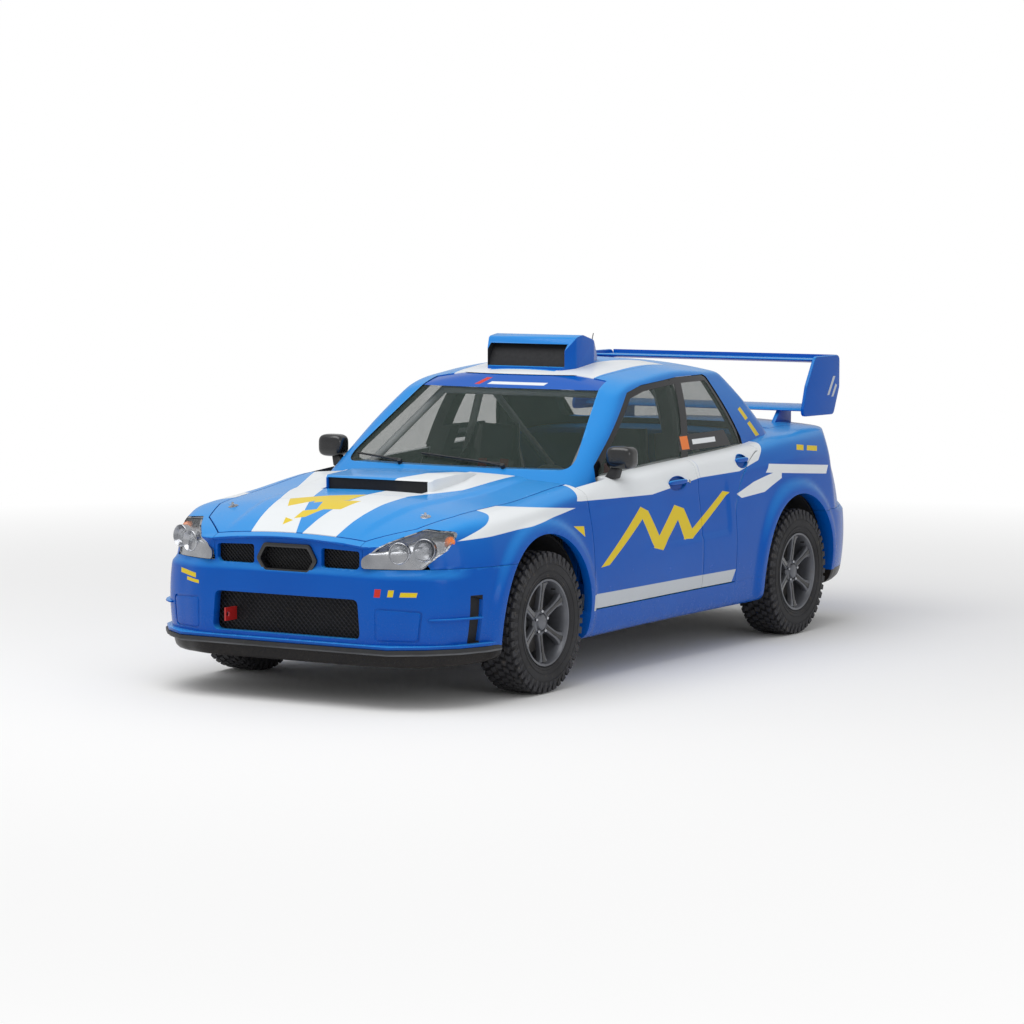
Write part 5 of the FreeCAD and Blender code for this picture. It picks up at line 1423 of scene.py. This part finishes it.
mx, my, _ = centre_of("door_mirror_left")
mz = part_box("door_mirror_left")[1].z - 0.056
shell_form = tool(pillow((mx, my + 0.004, mz), (0.0715, 0.05, 0.0555), 0.55, 64))
cavity = tool(pillow((mx, my + 0.05, mz), (0.063, 0.03, 0.047), 0.45, 64))
flat_back = block(mx - 0.1, mx + 0.1, my + 0.04, my + 0.1, mz - 0.1, mz + 0.1)
mirror_shell = shaped("part", shell_form, cut=[flat_back, cavity])
foot_low = [(0.742, -0.548), (0.8, -0.545), (0.806, -0.49), (0.742, -0.478)]
foot_high = [(0.778, -0.53), (0.822, -0.528), (0.826, -0.492), (0.778, -0.488)]
mirror_foot = solid_between([(x, y, 0.925) for x, y in foot_low], [(x, y, mz - 0.04) for x, y in foot_high])
pane_sheet = block(mx - 0.1, mx + 0.1, my + 0.026, my + 0.029, mz - 0.1, mz + 0.1)
mirror_left = joined("mirror_left", [coloured(mirror_shell, gloss_black, 50),
                                     coloured(rounded_edges(mirror_foot, 0.008, 3, 30), black_plastic, 50),
                                     coloured(shaped("part", cavity, [pane_sheet]), mirror_glass)])
for piece, side in ((mirror_left, "left"), (mirrored(mirror_left, "mirror_right"), "right")):
    fit(piece, f"front_door_{side}", "black_plastic", f"door_mirror_{side}")

# ---- Rear wing ----
# Two blades between moulded end plates, on two feet bolted to the boot lid.
# Painted composite, with a thin lip along the upper blade and grey slashes on the plates.
wing_half = half_width - 0.212
wing_back = rear_axle + 0.815


def behind_wing(points):
    """Side outline given by its distance from the wing's rear end."""
    return [(wing_back + y, z) for y, z in points]


def blade(start, end, thick, camber, count=18):
    """Aerofoil outline in side view, from its leading to its trailing edge."""
    share = (1 - np.cos(np.linspace(0, math.pi, count))) / 2
    chord = np.array(end) - np.array(start)
    lift = np.array((-chord[1], chord[0])) / np.linalg.norm(chord)
    body = thick * (2.97 * np.sqrt(share) - 1.26 * share - 3.52 * share ** 2 + 2.84 * share ** 3
                    - 1.0 * share ** 4)
    arch = camber * 4 * share * (1 - share)
    top, low = ([tuple(np.array(start) + chord * s + lift * (a + way * b / 2))
                 for s, a, b in zip(share, arch, body)] for way in (1, -1))
    return top + low[::-1][1:-1]


blade_outlines = [blade((wing_back - 0.268, 1.392), (wing_back - 0.004, 1.391), 0.022, -0.008),
                  blade((wing_back - 0.318, 1.124), (wing_back - 0.064, 1.146), 0.022, 0.004),
                  behind_wing([(-0.006, 1.384), (0, 1.384), (0, 1.4105), (-0.003, 1.4105)])]
wing_parts = [coloured(shaped("part", prism(outline, "x", -wing_half, wing_half)), plain_paint)
              for outline in blade_outlines]
plate_outline = behind_wing([(-0.444, 1.1), (-0.07, 1.095), (0, 1.24), (0, 1.411), (-0.29, 1.411),
                             (-0.39, 1.26)])
foot_outline = behind_wing([(-0.38, 1.02), (-0.15, 1.0), (-0.15, 1.13), (-0.27, 1.13)])
end_plate_paint = paint("end_plate_paint",
                        (pale_grey, "side", [[(1.93, 1.2), (1.955, 1.2), (2.03, 1.3), (2.0, 1.3)],
                                             [(1.98, 1.19), (2.005, 1.19), (2.05, 1.25), (2.03, 1.26)]]))
plate = shaped("part", prism(rounded(plate_outline, 0.035), "x", wing_half, wing_half + 0.018))
foot = shaped("part", prism(rounded(foot_outline, 0.02), "x", half_width - 0.43, half_width - 0.408),
              cut=[above_body])
for piece in (coloured(rounded_edges(plate, 0.004, 3), end_plate_paint),
              coloured(rounded_edges(foot, 0.003), plain_paint)):
    wing_parts += [piece, mirrored(piece, "part")]
fit(joined("rear_wing_built", wing_parts), "boot_lid", "blue_paint", "rear_wing")


# ---- Splitter and dive planes ----
# A blue lip over a black tray under the bumper, with a worn grey rubbing strip along its edge, and
# a small blue plane on each corner of the bumper.
def tray(material, grow, low, high, edge):
    """One flat layer of the splitter, from the arches round the nose."""
    outline = [(0.3, nose - 0.04 + grow), (half_width - 0.34, nose - 0.038 + grow),
               (half_width - 0.2, nose + 0.06 + grow), (half_width - 0.1, nose + 0.18 + grow),
               (half_width - 0.042, nose + 0.33 + grow), (half_width - 0.034, front_axle - 0.375)]
    outline += [(-x, y) for x, y in reversed(outline)]
    under = body_volume(0.03, 0.0, -0.1)
    layer = shaped("part", prism(outline, "z", low, high), cut=[*wells, under])
    return coloured(rounded_edges(layer, edge, 3), material)


rub_grey = plain("rub_grey", (104, 106, 110), (74, 76, 80), (0.5, 0.7), grain=120.0, dusty=0.3)
splitter = joined("splitter_built", [tray(black_plastic, 0.0, 0.254, 0.27, 0.004),
                                     tray(plain_paint, 0.01, 0.2705, 0.286, 0.005),
                                     tray(rub_grey, 0.016, 0.244, 0.2535, 0.002)])
fit(splitter, "body", "black_plastic", "splitter")
plane_ring = carved(body_volume(-0.024), [block(0.7, 1, nose + 0.09, nose + 0.31, 0.396, 0.404)],
                    [body_volume(0.012)])
for side, shape in sides(plane_ring):
    finished(shaped(f"dive_plane_{side}", shape), "body", plain_paint, "blue_paint", edge=0.002)

# ---- Tail lamps ----
# Red ribbed lenses let into the corners of the quarters.
# Moulded plastic, with the ribs running across them.
red_finish = Finish("red_lens")
ribs = (red_finish.place()[2] * 520.0).math("SINE")
red_mix = red_finish.mix(red_finish.noise(14.0, 3.0), linear(190, 16, 20), linear(132, 8, 14))
red_lens = red_finish.glossy(Base_Color=red_mix, Roughness=red_finish.noise(60.0, 3.0) * 0.1 + 0.08,
                             Coat_Weight=0.6, Normal=red_finish.bump(ribs, 0.0006))
for side, shape in sides(carved(wall, [tail_lamp])):
    finished(shaped(f"tail_lamp_{side}", shape), "body", red_lens, "red_lens", "tail_lamps", edge=0.003)

# ---- Exhaust tip ----
# Rolled end ring on the pipe; a black disc across its bore shows soot, and painted shade of the pipe's
# inside.
# Heat-stained steel, in the bumper's round hole.
pipe_end = (-0.4, 2.1101, 0.3)
tip_profile = [(0.038, -0.035), (0.0458, -0.035), (0.0462, 0.0), (0.0445, 0.006), (0.041, 0.006),
               (0.039, 0.0), (0.038, 0.0005)]
# Black disc just inside the ring: soot, and painted shade where the pipe goes dark inside.
soot_and_shade_profile = [(0.0, 0.0), (0.0395, 0.0), (0.0395, 0.0006), (0.0, 0.0006)]
fit(joined("exhaust_tip", [turned(exhaust_steel, tip_profile, pipe_end, (0, 1, 0), 64),
                           turned(duct_black, soot_and_shade_profile, pipe_end, (0, 1, 0))]), "body", "steel")


# ---- Bonnet pins, handles and small fittings ----
# Fittings are seated on the finished skins: pins and their plates on the bonnet, pull handles in
# the doors, wipers under the screen, and a short aerial on the roof.
def surface(piece):
    """A solid's surface, ready for lines to be cast at it."""
    return BVHTree.FromPolygons([v.co for v in piece.data.vertices],
                                [tuple(p.vertices) for p in piece.data.polygons])


def meeting(tree, start, way):
    """Place and normal where a line meets a surface."""
    return tree.ray_cast(Vector(start), Vector(way))[:2]


def tube(points, radius, material, kind="NURBS"):
    """Round bar along a few points: bent smoothly and capped, or straight between them."""
    curve = bpy.data.curves.new("tube", "CURVE")
    curve.dimensions = "3D"
    curve.bevel_depth, curve.bevel_resolution, curve.resolution_u = radius, 4, 14
    curve.use_fill_caps = kind == "NURBS"
    line = curve.splines.new(kind)
    line.points.add(len(points) - 1)
    for point, place in zip(line.points, points):
        point.co = (*place, 1)
    line.order_u, line.use_endpoint_u = 3, True
    holder = added("tube", curve)
    mesh = bpy.data.meshes.new_from_object(holder)
    bpy.data.objects.remove(holder)
    return coloured(added("part", mesh), material)


skin_surface, cabin_surface = surface(outer), surface(cabin)
pin_plate = [(0.0, -0.002), (0.024, -0.002), (0.024, 0.0015), (0.021, 0.0028), (0.0, 0.0032)]
pin_stem = [(0.0, 0.0), (0.006, 0.0), (0.006, 0.018), (0.004, 0.021), (0.0, 0.022)]
for side, sign in (("left", 1), ("right", -1)):
    spot, normal = meeting(skin_surface, (sign * 0.527, -1.768, 1.3), (0, 0, -1))
    clip = [spot + normal * 0.01 + Vector((dx, dy, 0)) for dx, dy in
            ((-0.022, 0.004), (0.016, 0.004), (0.022, 0.0), (0.016, -0.004), (-0.022, -0.004))]
    pin_parts = [turned(bright_metal, pin_plate, spot, normal, 40),
                 turned(bright_metal, pin_stem, spot, normal, 20), tube(clip, 0.0012, bright_metal, "POLY")]
    fit(joined(f"bonnet_pin_{side}", pin_parts), "bonnet", "steel")

# The cups inside the finger pockets are a deeper blue than the doors: painted shade in the recess.
pocket_shade_paint = paint("pocket_shade_paint", ground=deep_blue)
lock_profile = [(0.0, 0.0), (0.009, 0.0), (0.009, 0.003), (0.007, 0.0045), (0.0, 0.0045)]
for part, (y, z, half) in handle_places.items():
    spot, _ = meeting(skin_surface, (1.3, y, z), (-1, 0, 0))
    grip = pillow((spot.x + 0.0005, y, z + 0.006), (0.01, half + 0.004, 0.012), 0.6)
    cup = shaped("part", handle_pocket(part, -0.0001), [outer], [handle_pocket(part, -0.003)])
    group = [coloured(grip, plain_paint), coloured(cup, pocket_shade_paint)]
    if part == "front":
        lock_spot = (spot.x - 0.001, y + 0.118, z + 0.002)
        group.append(turned(bright_metal, lock_profile, lock_spot, (1, 0, 0.2), 24))
    left = joined(f"{part}_handle_left", group)
    fit(left, f"{part}_door_left", "blue_paint")
    fit(mirrored(left, f"{part}_handle_right"), f"{part}_door_right", "blue_paint")


def on_screen(x, z, lift):
    """Place over the windscreen."""
    spot, normal = meeting(cabin_surface, (x, -2.5, z), (0, 1, 0))
    return spot + normal * lift


wiper_parts = []
pivot_nut = [(0.0, -0.01), (0.012, -0.01), (0.011, 0.008), (0.0, 0.011)]
for pivot_x, tip_x, tip_z in ((0.3, -0.22, 1.01), (-0.28, -0.62, 0.995)):
    pivot = on_screen(pivot_x, 0.972, 0.012)
    tip = on_screen((pivot_x + tip_x) / 2, (0.972 + tip_z) / 2 + 0.004, 0.014)
    line = [on_screen(pivot_x + (tip_x - pivot_x) * s + 0.03, 0.98 + (tip_z - 0.975) * s, 0.007)
            for s in np.linspace(0.08, 1.0, 9)]
    bow = (pivot + tip) / 2 + Vector((0, -0.012, 0.006))
    wiper_parts += [tube([pivot, bow, tip], 0.0045, black_plastic), tube(line, 0.005, black_plastic),
                    turned(black_plastic, pivot_nut, pivot, (0, -0.5, 0.8), 24)]
fit(joined("wipers", wiper_parts), "body", "black_plastic")

aerial_foot = Vector((0.0, middle + 0.62, roof_height(0, middle + 0.62)))
aerial_base = [(0.0, -0.004), (0.016, -0.004), (0.015, 0.004), (0.006, 0.01), (0.005, 0.03), (0.0, 0.031)]
mast = [aerial_foot + Vector((0, back, up)) for back, up in ((0, 0), (0.012, 0.05), (0.04, 0.115))]
aerial = joined("aerial", [tube(mast, 0.0022, black_plastic),
                           turned(black_plastic, aerial_base, aerial_foot, (0, 0, 1), 32)])
fit(aerial, "body", "black_plastic")

# ---- Seats and belts ----
# Moulded bucket shells with sewn pads on them and flat red harness straps.
# The pads are woven cloth over foam, pulled in at their edges and seams.
seat_x, seat_back = half_width - 0.53, middle + 0.26
# share of the centre line from the front of the cushion to the head, then y from seat_back, and z
seat_stops = [(0.0, -0.425, 0.345), (0.14, -0.3, 0.325), (0.3, -0.12, 0.318), (0.4, -0.035, 0.365),
              (0.52, 0.005, 0.52), (0.76, 0.06, 0.82), (1.0, 0.115, 1.11)]


def seat_line(share):
    """Centre line of the shell in side view: y, z."""
    stops, ys, zs = zip(*seat_stops)
    return np.interp(share, stops, [seat_back + y for y in ys]), np.interp(share, stops, zs)


def seat_spot(share):
    """Place on the centre line and the way its surface faces: y, z, ny, nz."""
    (y0, z0), (y1, z1) = seat_line(share - 0.02), seat_line(share + 0.02)
    size = math.hypot(y1 - y0, z1 - z0)
    return *seat_line(share), -(z1 - z0) / size, (y1 - y0) / size


def seat_shell(centre_x):
    """Bucket shell with raised sides, thickened and softened."""
    rows, columns = 54, 33
    points = []
    for share in np.linspace(0, 1, rows):
        ys, zs = zip(*[seat_line(np.clip(share + d, 0, 1)) for d in (-0.03, -0.015, 0, 0.015, 0.03)])
        y, z, dy, dz = np.mean(ys), np.mean(zs), ys[-1] - ys[0], zs[-1] - zs[0]
        size = math.hypot(dy, dz)
        ny, nz = -dz / size, dy / size
        width = np.interp(share, [0, 0.4, 0.62, 0.8, 0.88, 1.0], [0.2, 0.195, 0.215, 0.205, 0.15, 0.12])
        wing = np.interp(share, [0, 0.2, 0.45, 0.62, 0.8, 0.86, 1.0],
                         [0.06, 0.115, 0.11, 0.15, 0.12, 0.085, 0.05])
        for side in np.linspace(-1, 1, columns):
            bend = abs(side) ** 3.2
            x = width * math.copysign(min(1, abs(side) * 1.18), side)
            points.append((centre_x + x, y + ny * wing * bend, z + nz * wing * bend))
    shell_piece = made_mesh("part", points, quads(rows, columns, strip=True))
    thick = shell_piece.modifiers.new("thick", "SOLIDIFY")
    thick.thickness, thick.offset = 0.008, 0.0
    round_off = shell_piece.modifiers.new("soft", "SUBSURF")
    round_off.levels = round_off.render_levels = 1
    return coloured(settled(shell_piece), gloss_black, 60)


def seat_pad(name, centre_x, start, end, half, plump, channels):
    """Sewn pad lying on the shell: crowned, pulled in at its edges and along its channels."""
    rows, columns = 40, 30
    points = []
    for top in (True, False):
        for share in np.linspace(0, 1, rows):
            y, z, ny, nz = seat_spot(start + (end - start) * share)
            for side in np.linspace(-1, 1, columns):
                edge = (1 - abs(side) ** 4) * (1 - abs(2 * share - 1) ** 4)
                lift = plump * math.sqrt(max(edge, 0.0))
                for channel in channels:
                    lift *= 1 - 0.35 * math.exp(-((share - channel) / 0.02) ** 2)
                rise = 0.012 + (lift if top else 0.0) + 0.05 * abs(side) ** 3.2 * half / 0.17
                points.append((centre_x + side * half * (1 - 0.04 * (2 * share - 1) ** 2),
                               y + ny * rise, z + nz * rise))
    n = rows * columns
    faces = quads(rows, columns, strip=True)
    faces += [tuple(n + k for k in quad[::-1]) for quad in faces]
    rim = ([j for j in range(columns)] + [i * columns + columns - 1 for i in range(1, rows)]
           + [(rows - 1) * columns + j for j in range(columns - 2, -1, -1)]
           + [i * columns for i in range(rows - 2, 0, -1)])
    faces += [(a, a + n, b + n, b) for a, b in zip(rim, rim[1:] + rim[:1])]
    return coloured(outward(made_mesh(name, points, faces)), seat_cloth, 60)


def strap(centre_x, dx):
    """Flat shoulder strap over the pads, from the buckle to the top of the back."""
    points = []
    for share in np.linspace(0.3, 0.84, 26):
        y, z, ny, nz = seat_spot(share)
        x = centre_x + dx * (0.35 + 0.65 * np.clip((share - 0.3) / 0.2, 0, 1))
        y, z = y + ny * 0.052, z + nz * 0.052
        points += [(x + wide, y + ny * up, z + nz * up) for wide, up in
                   ((-0.024, 0), (0.024, 0), (0.024, 0.003), (-0.024, 0.003))]
    faces = quads(26, 4) + [(3, 2, 1, 0), (100, 101, 102, 103)]
    return coloured(outward(made_mesh("part", points, faces)), red_belt)


belt_parts = []
buckle = [(0.0, 0.0), (0.032, 0.0), (0.034, 0.01), (0.026, 0.016), (0.0, 0.017)]
for side, centre_x in (("left", seat_x), ("right", -seat_x)):
    seat = joined(f"seat_shell_{side}", [seat_shell(centre_x)])
    fit(seat, "body", "seat_cloth", *(["seats"] if side == "left" else []))
    for part, start, end, half, channels in (("cushion", 0.03, 0.33, 0.15, (0.33, 0.66)),
                                             ("back", 0.42, 0.8, 0.155, (0.2, 0.4, 0.6, 0.8)),
                                             ("head", 0.84, 0.99, 0.095, ())):
        pad = seat_pad(f"seat_{part}_pad_{side}", centre_x, start, end, half, 0.026, channels)
        fit(pad, "body", "seat_cloth")
    belt_parts += [strap(centre_x, -0.065), strap(centre_x, 0.065)]
    y, z = seat_line(0.3)
    belt_parts.append(turned(bright_metal, buckle, (centre_x, y - 0.01, z + 0.05), (0, -0.3, 1), 32))
fit(joined("harness_straps", belt_parts), "body", "seat_cloth")

# ---- Dashboard ----
# Flocked dashboard moulding with a hooded dial pod, vents, switch panel and centre display.
# It spans the cabin and is bored for the steering column.
dash_low, dash_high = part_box("dashboard")
dash_front, dash_half = dash_low.y, dash_high.x
dash_line = [(0, 0.7), (0, 0.85), (0.152, 0.865), (0.372, 0.875), (0.422, 0.8), (0.412, 0.66),
             (0.212, 0.64)]
dash_line = [(dash_front + y, z) for y, z in dash_line]
flock = plain("flock", (34, 35, 40), (20, 21, 25), (0.9, 1.0), grain=900.0, depth=0.0006)
dial_face = plain("dial_face", (18, 20, 24), (10, 11, 14), (0.2, 0.3), grain=40.0, dusty=0.02)
column_base = Vector((seat_x - 0.02, middle - 0.7, 0.665))
column_top = Vector((seat_x - 0.02, middle - 0.33, 0.8))
axis = (column_top - column_base).normalized()
bore = [(0.0, -0.05), (0.0275, -0.05), (0.0275, 0.4), (0.0, 0.4)]
column_hole = outward(tool(turned(flock, bore, column_base, axis)))
dash_body = rounded_edges(shaped("part", prism(rounded(dash_line, 0.03), "x", -dash_half, dash_half),
                                 cut=[column_hole]), 0.01, 3)
pod = tool(pillow((column_top.x, dash_front + 0.3, 0.885), (0.15, 0.08, 0.046), 0.6, 56))
pod_hole = tool(pillow((column_top.x, dash_front + 0.372, 0.888), (0.132, 0.04, 0.034), 0.6, 56))
dash_parts = [coloured(dash_body, flock),
              coloured(shaped("part", pod, cut=[pod_hole, column_hole]), flock, 50)]
for dx, radius in ((-0.062, 0.026), (0.0, 0.03), (0.062, 0.026)):
    spot, facing = (column_top.x + dx, dash_front + 0.338, 0.887), (0, 1, 0.1)
    dial = [(0.0, 0.0), (radius, 0.0), (radius, 0.004), (0.0, 0.004)]
    bezel = [(radius - 0.001, 0.003), (radius + 0.002, 0.003), (radius + 0.001, 0.008),
             (radius - 0.001, 0.007)]
    dash_parts += [turned(dial_face, dial, spot, facing, 40), turned(bright_metal, bezel, spot, facing, 40)]
vent = [(0.0, 0.0), (0.034, 0.0), (0.036, 0.01), (0.03, 0.012), (0.027, 0.004), (0.0, 0.004)]
dash_parts += [turned(black_plastic, vent, (x, dash_front + 0.412, 0.8), (0, 1, 0.35), 40)
               for x in (-0.48, -0.16, 0.08)]
screen_box = prism([(-0.09, 0.7), (0.06, 0.7), (0.06, 0.76), (-0.09, 0.76)], "y", dash_front + 0.4,
                   dash_front + 0.428)
dash_parts.append(coloured(rounded_edges(shaped("part", screen_box), 0.004, 3), dial_face))
switch = [(0.0, 0.0), (0.007, 0.0), (0.006, 0.01), (0.0025, 0.012), (0.002, 0.022), (0.0, 0.023)]
dash_parts += [turned(bright_metal if k % 2 else red_paint, switch,
                      (-0.12 - 0.028 * k, dash_front + 0.418, 0.73), (0, 1, 0.1), 20) for k in range(6)]
fit(joined("dashboard_built", dash_parts), "body", "black_plastic", "dashboard")

# ---- Steering wheel ----
# Suede-covered rim on three drilled spokes, with a horn button, a yellow centre mark and its column.
# Rim, spokes and column turn as one about the column's line.
suede = plain("suede", (40, 40, 44), (24, 24, 28), (0.85, 0.95), grain=600.0, depth=0.0005)
yellow_tape = plain("yellow_tape", (226, 190, 40), (200, 164, 30), (0.6, 0.7), grain=300.0)
wheel_radius = 0.155
wheel_centre = column_top + axis * 0.02
across_wheel = Vector((1, 0, 0))
up_wheel = axis.cross(across_wheel)
rim_points = []
for i in range(120):
    a = math.tau * i / 120
    out_way = across_wheel * math.cos(a) + up_wheel * math.sin(a)
    grip = 0.014 + 0.0012 * math.cos(4 * a) - 0.0006 * (i % 2)
    for b in (math.tau * j / 20 for j in range(20)):
        outwards, along = wheel_radius + grip * math.cos(b), grip * math.sin(b)
        rim_points.append(wheel_centre + out_way * outwards + axis * along)
steering = [coloured(outward(made_mesh("part", rim_points, quads(120, 20, hoop=True))), suede, 60)]
spoke_half = [(0.03, 0.026), (0.06, 0.02), (0.1, 0.015), (0.148, 0.02)]
spoke_plan = spoke_half + [(r, -w) for r, w in reversed(spoke_half)]
drilling = [(0.0, 0.0), (0.006, 0.0), (0.0065, 0.0008), (0.0, 0.001)]
for way in (across_wheel, -across_wheel, -up_wheel):
    side_way = axis.cross(way)
    low, high = ([wheel_centre + way * r + side_way * w - axis * depth for r, w in spoke_plan]
                 for depth in (0.006, 0.002))
    steering.append(coloured(rounded_edges(solid_between(low, high), 0.0012), gloss_black))
    steering += [turned(bright_metal, drilling, wheel_centre + way * r - axis * 0.0022, axis, 20)
                 for r in (0.07, 0.095, 0.12)]
boss = [(0.0, -0.03), (0.04, -0.03), (0.044, -0.012), (0.044, -0.002), (0.034, 0.006), (0.022, 0.008),
        (0.02, 0.012), (0.0, 0.013)]
steering.append(turned(black_plastic, boss, wheel_centre, axis))
long = (column_top - column_base).length
column = [(0.0, 0.0), (0.0248, 0.0), (0.0248, long * 0.9), (0.03, long * 0.93), (0.03, long), (0.0, long)]
steering.append(turned(black_plastic, column, column_base, axis))
mark = [wheel_centre + up_wheel * (wheel_radius + 0.0152 * math.cos(b)) + axis * 0.0152 * math.sin(b)
        for b in np.linspace(0, math.tau, 24, endpoint=False)]
low, high = ([p + across_wheel * offset for p in mark] for offset in (-0.01, 0.01))
steering.append(coloured(solid_between(low, high), yellow_tape))
fit(joined("steering_wheel_built", steering), "steering_wheel", "black_plastic", "steering_wheel")


# The solids that only shaped others are thrown away first.
for spare in tools:
    bpy.data.objects.remove(spare)
